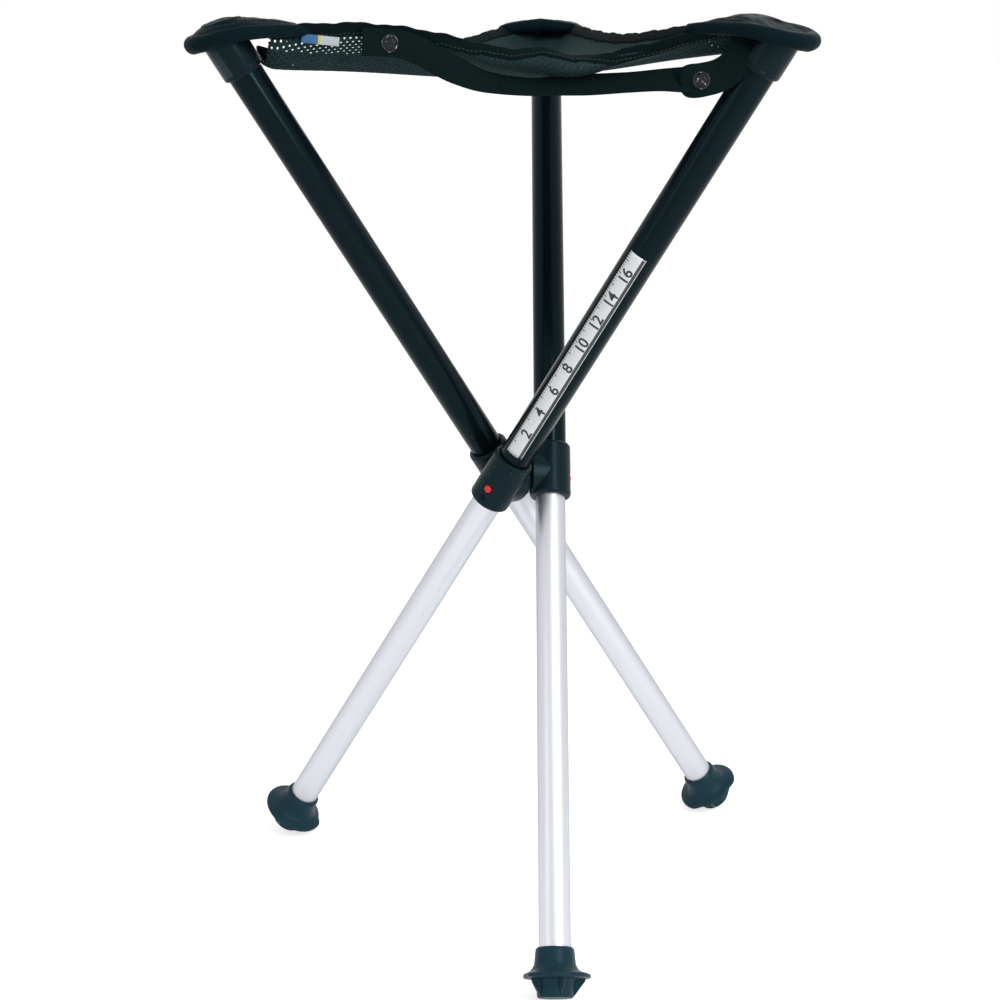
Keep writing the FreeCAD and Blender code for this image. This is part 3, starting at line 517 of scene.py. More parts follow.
def leg_matrix(leg):
    outwards = Vector(JOINTS[f"fold_{leg}"]["axis"])
    upwards = Vector(JOINTS[f"extend_{leg}"]["axis"])
    matrix = Matrix((outwards, upwards.cross(outwards), upwards)).transposed().to_4x4()
    matrix.translation = Vector(JOINTS[f"fold_{leg}"]["pos_m"])
    return matrix


def leg_points(node, leg):
    """A node's vertices in its leg's own axes."""
    inverse = leg_matrix(leg).inverted()
    return [inverse @ vertex.co for vertex in NODES[node].data.vertices]


def reach(node, leg):
    """Lowest and highest place of a node along its leg, and its greatest distance from the axis."""
    points = leg_points(node, leg)
    heights = [point.z for point in points]
    return min(heights), max(heights), max(math.hypot(point.x, point.y) for point in points)


for leg in LEGS:
    print(leg, "upper tube", [round(v / MM, 2) for v in reach(f"upper_tube_{leg}", leg)],
          "lower tube", [round(v / MM, 2) for v in reach(f"lower_tube_{leg}", leg)])

# %% [markdown]
# Tubes, caps and the button are turned pieces. A profile of distance and height goes round the
# axis, and its corners are rounded with small arcs first, because a real edge always catches a
# line of light. The UV map holds metres round and along, for finishes that follow the surface.

# %% Turning a profile
STRAIGHT = math.radians(176)


def rounded(points, radii, steps=5):
    """The closed outline with each corner replaced by an arc of the radius given for it."""
    outline = []
    count = len(points)
    for index, point in enumerate(points):
        radius = radii[index] if isinstance(radii, (list, tuple)) else radii
        corner = Vector(point)
        before = Vector(points[index - 1]) - corner
        after = Vector(points[(index + 1) % count]) - corner
        sharp = radius <= 0 or before.length == 0 or after.length == 0
        if sharp or before.angle(after) > STRAIGHT:
            outline.append(corner)
            continue
        half = before.angle(after) / 2
        cut = min(radius / math.tan(half), 0.49 * before.length, 0.49 * after.length)
        true_radius = cut * math.tan(half)
        inwards = (before.normalized() + after.normalized()).normalized()
        middle = corner + inwards * (true_radius / math.sin(half))
        first = corner + before.normalized() * cut - middle
        last = corner + after.normalized() * cut - middle
        sweep = first.angle(last)
        for step in range(steps + 1):
            share = step / steps
            ends = math.sin((1 - share) * sweep) * first + math.sin(share * sweep) * last
            outline.append(middle + ends / math.sin(sweep))
    return outline


def profile(rows, steps, base=0.0):
    """A rounded outline from rows of distance, height and corner radius in millimetres."""
    points = [(distance * MM, base + height * MM) for distance, height, radius in rows]
    return rounded(points, [radius * MM for distance, height, radius in rows], steps)


def uv_faces(made, uv, quads):
    """Faces from corners that each hold a vertex and its place on the UV map."""
    for corners in quads:
        face = made.faces.new([vertex for vertex, spot in corners])
        for loop, (vertex, spot) in zip(face.loops, corners):
            loop[uv].uv = spot


def turn_profile(name, outline, matrix, segments=96):
    """A solid of revolution: outline points are (distance from the axis, height)."""
    made = bmesh.new()
    uv = made.loops.layers.uv.new("UVMap")
    rings = []
    for index in range(segments):
        angle = 2 * math.pi * index / segments
        turned = [Vector((p[0] * math.cos(angle), p[0] * math.sin(angle), p[1])) for p in outline]
        rings.append([made.verts.new(point) for point in turned])
    lengths = [0.0]
    for first, last in zip(outline, outline[1:] + outline[:1]):
        lengths.append(lengths[-1] + (Vector(last) - Vector(first)).length)
    widest = max(p[0] for p in outline)
    quads = []
    for index in range(segments):
        ring, following = rings[index], rings[(index + 1) % segments]
        here, there = (turn / segments * 2 * math.pi * widest for turn in (index, index + 1))
        for span in range(len(outline)):
            other = (span + 1) % len(outline)
            low, high = lengths[span], lengths[span + 1]
            quads.append(((ring[span], (here, low)), (following[span], (there, low)),
                          (following[other], (there, high)), (ring[other], (here, high))))
    uv_faces(made, uv, quads)
    bmesh.ops.remove_doubles(made, verts=made.verts, dist=1e-7)
    bmesh.ops.recalc_face_normals(made, faces=made.faces)
    return finished(name, made, matrix)


def finished(name, made, matrix=None, smooth=True):
    """Turns a bmesh into an object at the origin, with its place in its mesh."""
    if matrix is not None:
        made.transform(matrix)
    mesh = bpy.data.meshes.new(name)
    made.to_mesh(mesh)
    made.free()
    for polygon in mesh.polygons:
        polygon.use_smooth = smooth
    return placed(name, mesh)


def dress(piece, slot_name, body, *nodes):
    """Gives a piece its finish, its slot and its body, and lets it stand for its CAD nodes."""
    if not piece.data.materials:
        piece.data.materials.append(MATERIALS[slot_name])
    if body:
        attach(piece, body)
    if nodes:
        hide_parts(*nodes)
    return piece


# %% [markdown]
# Each leg is a black tube with a silver one inside it. The wall shows only at the ends, so both
# tubes are turned from a thin rectangle with tiny rounded corners, as long as the CAD tubes.

# %% The tubes
TUBE_EDGE = 0.25 * MM
UPPER_WALL = 0.9 * MM
LOWER_WALL = 1.0 * MM


def tube(name, leg, body, slot_name, wall):
    low, high, radius = reach(name, leg)
    inner = radius - wall
    corners = [(radius, low), (radius, high), (inner, high), (inner, low)]
    outline = rounded(corners, TUBE_EDGE, 3)
    piece = turn_profile(f"{name}_turned", outline, leg_matrix(leg))
    return dress(piece, slot_name, body, name)


for leg in LEGS:
    tube(f"upper_tube_{leg}", leg, f"leg_{leg}", "black_tube", UPPER_WALL)
    tube(f"lower_tube_{leg}", leg, f"inner_{leg}", "silver_tube", LOWER_WALL)
print("six tubes turned")

# %% [markdown]
# The hub and the collars are moulded, and their tool rounds every edge. A voxel remesh of the
# CAD shape gives even faces, and a few passes of smoothing then ease each edge by about half a
# millimetre, which a bevel can't do on so many small meeting curves. Each collar then gets the
# thumb scoop below its button pressed in.

# %% Moulded parts
MERGE_GAP = 2e-6
COLLAR_VOXEL, COLLAR_PASSES = 0.38 * MM, 3
HUB_VOXEL, HUB_PASSES = 0.5 * MM, 4


def applied(piece):
    """Swaps the mesh for what its modifiers make of it, and takes the modifiers off."""
    graph = bpy.context.evaluated_depsgraph_get()
    mesh = bpy.data.meshes.new_from_object(piece.evaluated_get(graph))
    piece.modifiers.clear()
    old = piece.data
    piece.data = mesh
    bpy.data.meshes.remove(old)
    for polygon in mesh.polygons:
        polygon.use_smooth = True
    return piece


def merged_copy(node, name, smooth=True):
    made = bmesh.new()
    made.from_mesh(NODES[node].data)
    bmesh.ops.remove_doubles(made, verts=made.verts, dist=MERGE_GAP)
    return finished(name, made, smooth=smooth)


def moulded(node, slot_name, body, voxel, passes):
    piece = merged_copy(node, f"{node}_moulded")
    even = piece.modifiers.new("even", "REMESH")
    even.mode = "VOXEL"
    even.voxel_size = voxel
    ease = piece.modifiers.new("ease", "SMOOTH")
    ease.factor = 0.5
    ease.iterations = passes
    applied(piece)
    piece.data.materials.clear()
    return dress(piece, slot_name, body, node)


SCOOP_TOP = -7.4 * MM
SCOOP_TIP = -14.6 * MM
SCOOP_HALF = 5.8 * MM
SCOOP_DEPTH = 1.3 * MM
SCOOP_SHELL = 13.6 * MM
SCOOP_FLANK = 1.6
SCOOP_STRETCH = 1.25


def scoop(piece, leg):
    """Presses a thumb scoop into the collar below its button, wide at the top and pointed below."""
    matrix = leg_matrix(leg)
    inverse = matrix.inverted()
    for vertex in piece.data.vertices:
        place = inverse @ vertex.co
        if place.x < 0 or not SCOOP_TIP < place.z < SCOOP_TOP:
            continue
        down = (place.z - SCOOP_TIP) / (SCOOP_TOP - SCOOP_TIP)
        side = 1 - abs(place.y) / (SCOOP_HALF * down)
        if side <= 0 or math.hypot(place.x, place.y) < SCOOP_SHELL:
            continue
        ends = math.sin(math.pi * min(down * SCOOP_STRETCH, 1.0)) ** 0.5
        place.x -= SCOOP_DEPTH * min(1.0, side * SCOOP_FLANK) * ends
        vertex.co = matrix @ place


for leg in LEGS:
    collar = moulded(f"collar_{leg}", "moulded_black", f"leg_{leg}", COLLAR_VOXEL, COLLAR_PASSES)
    scoop(collar, leg)
hub = moulded("hub_core", "moulded_black", "hub", HUB_VOXEL, HUB_PASSES)
print("collar", len(collar.data.polygons), "hub", len(hub.data.polygons), "faces")

# %% [markdown]
# A rubber foot is turned from one outline: a flat sole, a wide thin flange that spreads the load,
# and a long collar up the tube. Five thin gussets carry the flange, joined on with a boolean. A
# voxel remesh leaves so thin a flange lumpy, so this shape is built exactly. The flange is drawn
# in a little on one side, where the three feet nest beside each other when the stool folds.

# %% The feet
FOOT_PROFILE = (
    (0.0, 0.0, 0), (12.3, 0.0, 1.2), (12.9, 8.6, 4), (14.6, 12.0, 3), (24.2, 13.1, 0.6),
    (24.4, 14.4, 0.6), (24.0, 15.6, 0.9), (16.6, 18.0, 5), (14.3, 22.0, 6), (13.3, 32.0, 1.2),
    (12.2, 33.5, 0.5), (11.1, 33.5, 0.2), (11.1, 9.6, 0.2), (0.0, 9.6, 0),
)
GUSSET_OUTLINE = ((10.6, 0.9), (12.4, 0.9), (20.6, 11.4), (20.6, 13.6), (10.6, 13.6))
GUSSETS = 5
GUSSET_THICK = 2.2 * MM
GUSSET_EDGE = 0.45 * MM
FLANGE_INNER = 16.0 * MM
FLANGE_OUTER = 24.4 * MM
NEST_TURN = 164.7
NEST_DEPTH = 2.7 * MM
NEST_FULL = 38.0
NEST_END = 62.0


def gusset_blades(matrix, sole):
    """All the gussets of one foot as one mesh of rounded blades."""
    made = bmesh.new()
    half = GUSSET_THICK / 2
    for index in range(GUSSETS):
        turn = Matrix.Rotation(2 * math.pi * index / GUSSETS, 4, "Z")
        front, back = (
            [made.verts.new(turn @ Vector((x * MM, side, sole + z * MM))) for x, z in GUSSET_OUTLINE]
            for side in (-half, half))
        made.faces.new(front)
        made.faces.new(back[::-1])
        for one in range(len(front)):
            two = (one + 1) % len(front)
            made.faces.new((front[two], front[one], back[one], back[two]))
    bmesh.ops.recalc_face_normals(made, faces=made.faces)
    bmesh.ops.bevel(made, geom=list(made.edges), offset=GUSSET_EDGE, segments=3, affect="EDGES")
    return finished("gussets", made, matrix)


def eased(value):
    """A value held between 0 and 1, with a smooth start and end."""
    value = min(max(value, 0.0), 1.0)
    return value * value * (3 - 2 * value)


def shallower_side(piece, matrix):
    """Draws the flange in on the side where the three feet nest, with soft ends."""
    inverse = matrix.inverted()
    span = FLANGE_OUTER - FLANGE_INNER
    for vertex in piece.data.vertices:
        place = inverse @ vertex.co
        distance = math.hypot(place.x, place.y)
        if distance <= FLANGE_INNER:
            continue
        turn = math.degrees(math.atan2(place.y, place.x))
        off = abs((turn - NEST_TURN + 180) % 360 - 180)
        depth = NEST_DEPTH * eased((NEST_END - off) / (NEST_END - NEST_FULL))
        new = FLANGE_INNER + (distance - FLANGE_INNER) * (span - depth) / span
        place.x *= new / distance
        place.y *= new / distance
        vertex.co = matrix @ place


def foot(leg):
    sole = reach(f"foot_{leg}", leg)[0]
    matrix = leg_matrix(leg)
    piece = turn_profile(f"foot_{leg}_turned", profile(FOOT_PROFILE, 5, sole), matrix, 120)
    blades = gusset_blades(matrix, sole)
    join = piece.modifiers.new("gussets", "BOOLEAN")
    join.operation = "UNION"
    join.object = blades
    join.solver = "EXACT"
    applied(piece)
    bpy.data.objects.remove(blades)
    shallower_side(piece, matrix)
    return dress(piece, "foot_rubber", f"inner_{leg}", f"foot_{leg}")


for leg in LEGS:
    foot(leg)
print("three feet with", GUSSETS, "gussets each")

# %% [markdown]
# The cap closes the tube's upper end under the leather. It is turned, with a soft lower edge, a
# shallow groove above it and a slight draft, as a cap that comes out of a simple mould has.

# %% The top caps
CAP_GROOVE = 0.35 * MM
CAP_GROOVE_HALF = 0.5 * MM
CAP_GROOVE_ABOVE = 3.2 * MM
CAP_CLEARANCE = 0.05 * MM
CAP_INSET = 0.25 * MM
CAP_DRAFT = 0.15 * MM
CAP_ROUNDING = (0.3, 0.9, 0.3, 0.2, 0.3, 3.0, 0, 0, 0)


def top_cap(leg):
    low, high, radius = reach(f"top_cap_{leg}", leg)
    _, tube_end, tube_radius = reach(f"upper_tube_{leg}", leg)
    tube_radius += CAP_CLEARANCE
    groove = low + CAP_GROOVE_ABOVE
    outline = [
        (tube_radius, low),
        (radius - CAP_INSET, low),
        (radius, groove - CAP_GROOVE_HALF),
        (radius - CAP_GROOVE, groove),
        (radius, groove + CAP_GROOVE_HALF),
        (radius - CAP_DRAFT, high),
        (0.0, high),
        (0.0, tube_end + CAP_CLEARANCE),
        (tube_radius, tube_end + CAP_CLEARANCE),
    ]
    outline = rounded(outline, [size * MM for size in CAP_ROUNDING], 6)
    piece = turn_profile(f"top_cap_{leg}_turned", outline, leg_matrix(leg), 96)
    return dress(piece, "cap_black", f"leg_{leg}", f"top_cap_{leg}")


for leg in LEGS:
    top_cap(leg)
print("three caps")

# %% [markdown]
# The button is a glossy red dome in the collar's scooped dimple. It is turned about the leg's X
# axis, so its matrix tips the turning axis from Z to X first.

# %% The lock buttons
BUTTON_BELOW = 4.0 * MM
BUTTON_CROWN = 1.1 * MM
BUTTON_BAND = 1.2 * MM
BUTTON_FLANGE = 0.6 * MM
BUTTON_STEPS = 10


def button(leg):
    points = leg_points(f"lock_button_{leg}", leg)
    far, near = max(p.x for p in points), min(p.x for p in points)
    stem = max(math.hypot(p.y, p.z + BUTTON_BELOW) for p in points if p.x > far - BUTTON_BAND)
    flange = max(math.hypot(p.y, p.z + BUTTON_BELOW) for p in points)
    outline = [
        (0.0, near),
        (flange, near),
        (flange, near + BUTTON_FLANGE),
        (stem, near + BUTTON_FLANGE),
        (stem, far - BUTTON_CROWN),
    ]
    for step in range(1, BUTTON_STEPS + 1):
        angle = math.pi / 2 * step / BUTTON_STEPS
        outline.append((stem * math.cos(angle), far - BUTTON_CROWN + BUTTON_CROWN * math.sin(angle)))
    tipped = Matrix.Translation((0, 0, -BUTTON_BELOW)) @ Matrix.Rotation(math.pi / 2, 4, "Y")
    piece = turn_profile(f"lock_button_{leg}_turned", outline, leg_matrix(leg) @ tipped, 48)
    return dress(piece, "red_button", f"button_{leg}", f"lock_button_{leg}")


for leg in LEGS:
    button(leg)
print("three buttons")

# %% [markdown]
# Small steel and plastic pieces inside the legs keep their CAD mesh. They only need a finish:
# each node takes the material of the slot given for it here.

# %% The pieces that keep their CAD mesh


def keep_node(node, slot_name):
    mesh = NODES[node].data
    mesh.materials.clear()
    mesh.materials.append(MATERIALS[slot_name])


for leg in LEGS:
    keep_node(f"guide_bush_{leg}", "bush_plastic")
    keep_node(f"slider_plug_{leg}", "bush_plastic")
    keep_node(f"pivot_screw_{leg}", "screw_steel")
print("three kinds of inner piece keep their CAD mesh")

# %% [markdown]
# The lock spring's stud goes through both tubes' holes while the leg is out. As the leg slides in,
# the tube pushes the stud back and the leaf bends inwards. The leaf here is a plain copy of the
# node, which rides with the inner tube and keeps its shape.


def lock_spring(leg):
    node = f"lock_spring_{leg}"
    piece = merged_copy(node, f"{node}_leaf", smooth=False)
    piece.data.materials.clear()
    dress(piece, "spring_steel", f"inner_{leg}", node)
    matrix = leg_matrix(leg)
    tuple(matrix.translation[:])
    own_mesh(piece)


for leg in LEGS:
    lock_spring(leg)
print("three lock springs")

# %% [markdown]
# The seat is one triangle of mesh cloth. Its plan comes from the legs: each corner is where a
# leg's axis meets the seat's level, and the cloth's edges bow inwards between the corners. The
# cloth isn't loaded, so its edges droop unevenly. Their heights are given at a few shares of
# each edge, and a smooth curve joins them.

# %% The seat's plan and rim
SEAT_BELOW_END = 8 * MM
CLOTH_SHORT = 20.3 * MM
CORNER_HALF_WIDTH = 18 * MM
EDGE_BOW = 18.4 * MM
EDGES = {"right": ("a", "b"), "left": ("b", "c"), "near": ("c", "a")}
RIM_HEIGHTS = {
    "near": ((0, 16), (0.08, 17.5), (0.20, 18), (0.33, 13.5), (0.45, 5.5), (0.52, 1.5), (0.60, 2),
             (0.66, -2.5), (0.72, -2.5), (0.77, 0.5), (0.84, 4.5), (0.91, 9.5), (1, 15)),
    "right": ((0, 14), (0.15, 16.5), (0.35, 12.5), (0.5, 10), (0.65, 11), (0.85, 15), (1, 17)),
    "left": ((0, 17), (0.15, 13), (0.35, 5), (0.55, -1), (0.75, -2.5), (0.9, -1.5), (1, 3)),
}


def corner(leg):
    """Where a leg's axis meets the seat's level."""
    high = reach(f"upper_tube_{leg}", leg)[1]
    return leg_matrix(leg) @ Vector((0, 0, high - SEAT_BELOW_END))


CORNERS = {leg: corner(leg) for leg in LEGS}
SEAT_LEVEL = CORNERS["a"].z


def outward(leg):
    """The level direction from the middle of the seat to a corner."""
    return Vector((CORNERS[leg].x, CORNERS[leg].y, 0)).normalized()


def cloth_corner(leg, side):
    """The cloth's corner beside a pocket; side is 1 towards the next leg and -1 towards the last."""
    along = outward(leg)
    middle = along * (CORNERS[leg].xy.length - CLOTH_SHORT)
    return middle + UP.cross(along) * side * CORNER_HALF_WIDTH


def smooth_value(stops, share):
    """A Catmull-Rom curve through (share, value) stops."""
    index = 0
    while index < len(stops) - 2 and share > stops[index + 1][0]:
        index += 1
    first, second = stops[index], stops[index + 1]
    before = stops[max(index - 1, 0)]
    after = stops[min(index + 2, len(stops) - 1)]
    span = second[0] - first[0]
    place = min(max((share - first[0]) / span, 0), 1)
    slope_one = (second[1] - before[1]) / max(second[0] - before[0], 1e-6) * span
    slope_two = (after[1] - first[1]) / max(after[0] - first[0], 1e-6) * span
    square, cube = place ** 2, place ** 3
    return ((2 * cube - 3 * square + 1) * first[1] + (cube - 2 * square + place) * slope_one
            + (3 * square - 2 * cube) * second[1] + (cube - square) * slope_two)


def rim_point(edge, share):
    """A point of the cloth's edge, at a share of the way from its first corner to its second."""
    first, last = EDGES[edge]
    start, end = cloth_corner(first, 1), cloth_corner(last, -1)
    inwards = -(start + end).normalized()
    point = start.lerp(end, share) + inwards * EDGE_BOW * 4 * share * (1 - share)
    point.z = SEAT_LEVEL + smooth_value(RIM_HEIGHTS[edge], share) * MM
    return point


CORNER_DIP = {"a": 12 * MM, "b": 5 * MM, "c": 15 * MM}
CORNER_STEPS = 12


def corner_line(leg):
    """The cloth's short end under a hood, which dips beside the cap."""
    start = next(rim_point(edge, 1) for edge, ends in EDGES.items() if ends[1] == leg)
    end = next(rim_point(edge, 0) for edge, ends in EDGES.items() if ends[0] == leg)
    points = []
    for step in range(1, CORNER_STEPS):
        share = step / CORNER_STEPS
        point = start.lerp(end, share)
        point.z -= CORNER_DIP[leg] * math.sin(math.pi * share)
        points.append(point)
    return points


rim = []
RIM_STEPS = 96
for edge in EDGES:
    rim += [rim_point(edge, step / RIM_STEPS) for step in range(RIM_STEPS + 1)]
for leg in LEGS:
    rim += corner_line(leg)
print("seat level", round(SEAT_LEVEL / MM, 1), "mm, rim from", round(min(p.z for p in rim) / MM, 1),
      "to", round(max(p.z for p in rim) / MM, 1))

# %% [markdown]
# Between the rim and the middle the cloth follows part of an ellipse: flat in the middle, and
# steep at the rim. A wide arc, over a quarter turn, makes the cloth belly out under the near
# edge, as loose cloth does. A table over the azimuth turns a place on the flat cloth into a
# place on the hanging cloth at the same length from the middle, so the net isn't stretched. For
# each named direction there is the arc in degrees, and a hump halfway out in millimetres.

# %% The hanging surface
SAG = 17.5 * MM
SAG_SHAPE = {
    "a": (78, 5), "right": (74, 0), "b": (56, 0), "left": (70, 0), "c": (84, 3), "near_c": (92, 6),
    "near": (106, 0), "near_a": (112, -2),
}
NEAR_SHARES = {"near_c": 0.28, "near_a": 0.66}
TABLE_TURNS = 360
TABLE_STEPS = 60


def azimuth(vector):
    return math.atan2(vector.y, vector.x) % (2 * math.pi)


def periodic(stops, angles):
    """Smooth values round the circle through (azimuth, value) stops."""
    stops = sorted(stops)
    turns = np.array([stop[0] for stop in stops])
    values = np.array([stop[1] for stop in stops])
    turns = np.concatenate([turns[-1:] - 2 * math.pi, turns, turns[:1] + 2 * math.pi])
    values = np.concatenate([values[-1:], values, values[:1]])
    index = np.clip(np.searchsorted(turns, angles, side="right") - 1, 0, len(turns) - 2)
    place = (angles - turns[index]) / (turns[index + 1] - turns[index])
    ease = (1 - np.cos(np.pi * place)) / 2
    return values[index] * (1 - ease) + values[index + 1] * ease


def sag_directions():
    found = {leg: azimuth(outward(leg)) for leg in LEGS}
    for edge in EDGES:
        found[edge] = azimuth(rim_point(edge, 0.5))
    for name, share in NEAR_SHARES.items():
        found[name] = azimuth(rim_point("near", share))
    return found


def build_tables():
    """Rim radius and height, arc and lift over the azimuth, and where each flat length lands."""
    angles = np.arange(TABLE_TURNS) * 2 * math.pi / TABLE_TURNS
    points = sorted((azimuth(point), math.hypot(point.x, point.y), point.z) for point in rim)
    turns, radii, heights = np.array(points).T
    radius = np.interp(angles, turns, radii, period=2 * math.pi)
    height = np.interp(angles, turns, heights, period=2 * math.pi)
    directions = sag_directions()
    arc = periodic([(directions[k], math.radians(v[0])) for k, v in SAG_SHAPE.items()], angles)
    lift = periodic([(directions[k], v[1] * MM) for k, v in SAG_SHAPE.items()], angles)
    share = np.linspace(0, 1, TABLE_STEPS + 1)[None, :]
    out, tall = sag_profile(radius[:, None], height[:, None], arc[:, None], lift[:, None], share)
    steps = np.hypot(np.diff(out, axis=1), np.diff(tall, axis=1))
    lengths = np.concatenate([np.zeros((TABLE_TURNS, 1)), np.cumsum(steps, axis=1)], axis=1)
    flat = lengths[:, -1]
    back = np.array([np.interp(share[0] * flat[i], lengths[i], share[0]) for i in range(TABLE_TURNS)])
    return {"radius": radius, "height": height, "arc": arc, "lift": lift, "flat": flat, "back": back}


def sag_profile(radius, height, arc, lift, share):
    """Distance from the middle and height at a share of the ellipse from the middle to the rim."""
    floor = SEAT_LEVEL - SAG
    out = radius * np.sin(arc * share) / np.sin(arc)
    rise = (1 - np.cos(arc * share)) / (1 - np.cos(arc))
    hump = 16 * (share * (1 - share)) ** 2
    tall = floor + (height - floor) * rise + lift * hump
    return out, tall


TABLES = build_tables()


def table_rows(angles):
    """The table's row at or before each azimuth, the row after it, and the share between them."""
    place = (angles % (2 * math.pi)) / (2 * math.pi) * TABLE_TURNS
    low = np.floor(place).astype(int)
    return low % TABLE_TURNS, (low + 1) % TABLE_TURNS, place - low


def round_table(name, angles):
    """Reads a table at any azimuth, straight between its rows."""
    low, high, part = table_rows(angles)
    table = TABLES[name]
    return table[low] * (1 - part) + table[high] * part


def share_of_flat(flat_share, angles):
    """The ellipse's share for a share of the flat length, read from the back table."""
    low, high, part = table_rows(angles)
    column = np.clip(flat_share, 0, 1) * TABLE_STEPS
    left = np.minimum(np.floor(column).astype(int), TABLE_STEPS - 1)
    across = column - left
    back = TABLES["back"]
    first, last = (back[row, left] * (1 - across) + back[row, left + 1] * across for row in (low, high))
    return first * (1 - part) + last * part + np.maximum(flat_share - 1, 0)


FOLD_HEIGHT = 1.5 * MM
FOLD_FADE = 48 * MM
FOLD_WAVES = 13
UNEVEN_HEIGHT = 0.7 * MM
UNEVEN_LENGTH, UNEVEN_WIDTH = 31 * MM, 27 * MM
RIM_CALM = 0.12


def folds(out, angles):
    """Small ridges that run from each corner into the cloth, and a slow unevenness."""
    rise = np.zeros_like(out)
    x, y = out * np.cos(angles), out * np.sin(angles)
    for number, leg in enumerate(LEGS):
        away = outward(leg)
        inwards = CORNERS[leg].xy.length - (x * away.x + y * away.y)
        sideways = -x * away.y + y * away.x
        bearing = np.arctan2(sideways, np.maximum(inwards, 1 * MM))
        fade = np.exp(-np.maximum(inwards, 0) / FOLD_FADE)
        rise += FOLD_HEIGHT * np.cos(bearing * FOLD_WAVES + number * 1.7) * fade
    slow = np.sin(x / UNEVEN_LENGTH + 0.7) * np.cos(y / UNEVEN_WIDTH - 0.4)
    return rise + UNEVEN_HEIGHT * slow


def hang(x, y):
    """Where points of the flat cloth are on the hanging cloth, as an array of places."""
    angles = np.arctan2(y, x)
    flat_share = np.hypot(x, y) / round_table("flat", angles)
    share = share_of_flat(flat_share, angles)
    out, tall = sag_profile(*(round_table(k, angles) for k in ("radius", "height", "arc", "lift")), share)
    calm = np.clip(1 - share, 0, RIM_CALM) / RIM_CALM
    tall = tall + folds(out, angles) * calm
    return np.stack([out * np.cos(angles), out * np.sin(angles), tall], axis=-1)


def cloth_normal(x, y):
    """Unit normals of the hanging cloth, pointing up and inwards."""
    step = 0.4 * MM
    one = hang(x + step, y) - hang(x - step, y)
    two = hang(x, y + step) - hang(x, y - step)
    normal = np.cross(one, two)
    return normal / np.linalg.norm(normal, axis=-1, keepdims=True)


print("flat cloth reaches", round(float(TABLES["flat"].min()) / MM, 1), "to",
      round(float(TABLES["flat"].max()) / MM, 1), "mm from its middle")

# %% [markdown]
# The cloth is a knitted net, so its holes are real holes, and the light comes through them.
# Geometry Nodes make the flat net: a grid with every second row shifted by half a hole becomes
# triangles, their dual is a honeycomb, and each cell shrinks inside itself to leave the hole.

# %% The net's node tree
NET_PITCH = 3.9 * MM
NET_ROW = 2.95 * MM
NET_HOLE = 0.32
NET_HALF = 215 * MM
NET_THICK = 0.75 * MM
NET_RIB = 0.16 * MM


GEOMETRY = "NodeSocketGeometry"
COUNT = "NodeSocketInt"


def geometry_tree(name, inputs):
    """A Geometry Nodes tree with its math and node helpers, its inputs and its sockets' names."""
    ends = [("Geometry", GEOMETRY, None), *inputs, ("Material", "NodeSocketMaterial", None)]
    tree, entry, leave, sockets = new_tree("GeometryNodeTree", name, ends, [("Geometry", GEOMETRY)])
    make = partial(new_node, tree)

    def send(geometry):
        """Makes the instances real, gives them the tree's material, and sends them out."""
        solid = make("GeometryNodeRealizeInstances", Geometry=geometry)[0]
        paint = make("GeometryNodeSetMaterial", Geometry=solid, Material=entry.outputs["Material"])
        tree.links.new(paint[0], leave.inputs[0])
        return tree, sockets

    return partial(math_node, tree), make, entry.outputs, send


def net_tree():
    calc, make, given, send = geometry_tree("knitted_net", [
        ("Hole", FLOAT, NET_HOLE), ("Pitch", FLOAT, NET_PITCH), ("Row", FLOAT, NET_ROW),
        ("Columns", COUNT, 3), ("Rows", COUNT, 3),
    ])
    columns, rows, pitch, row = (given[label] for label in ("Columns", "Rows", "Pitch", "Row"))
    wide = calc("MULTIPLY", calc("SUBTRACT", columns, 1), pitch)
    tall = calc("MULTIPLY", calc("SUBTRACT", rows, 1), row)
    grid = make("GeometryNodeMeshGrid", Size_X=wide, Size_Y=tall, Vertices_X=columns, Vertices_Y=rows)
    place = make("ShaderNodeSeparateXYZ", Vector=make("GeometryNodeInputPosition")[0])
    odd = calc("FLOORED_MODULO", calc("ROUND", calc("DIVIDE", place["Y"], row)), 2)
    shift = make("ShaderNodeCombineXYZ", X=calc("MULTIPLY", calc("MULTIPLY", odd, 0.5), pitch))[0]
    moved = make("GeometryNodeSetPosition", Geometry=grid["Mesh"], Offset=shift)[0]
    split = make("GeometryNodeTriangulate", {"quad_method": "SHORTEST_DIAGONAL"}, Mesh=moved)["Mesh"]
    dual = make("GeometryNodeDualMesh", Mesh=split)[0]
    cells = make("GeometryNodeExtrudeMesh", Mesh=dual, Individual=True, Offset_Scale=0.0)
    shrunk = make("GeometryNodeScaleElements", Geometry=cells["Mesh"], Selection=cells["Top"],
                  Scale=given["Hole"])[0]
    left = make("GeometryNodeDeleteGeometry", {"domain": "FACE"}, Geometry=shrunk, Selection=cells["Top"])
    return send(left[0])


def with_nodes(piece, tree, sockets, **values):
    """Adds the tree as a modifier, sets its inputs by their identifiers and applies it."""
    modifier = piece.modifiers.new(tree.name, "NODES")
    modifier.node_group = tree
    for label, value in values.items():
        modifier[sockets[label]] = value
    return applied(piece)


def flat_net():
    return with_nodes(placed("flat_net", bpy.data.meshes.new("flat_net")), *net_tree(), Hole=NET_HOLE,
                      Pitch=NET_PITCH, Row=NET_ROW, Columns=int(2 * NET_HALF / NET_PITCH),
                      Rows=int(2 * NET_HALF / NET_ROW), Material=MATERIALS["mesh_fabric"])


net = flat_net()
print("flat net", len(net.data.polygons), "faces")

# %% [markdown]
# The flat net is trimmed to the cloth's outline, thickened and subdivided into round yarns while
# it's still flat. Only then is it hung on the surface, and cut into three, one for each corner.

# %% Trim, thicken and hang the net


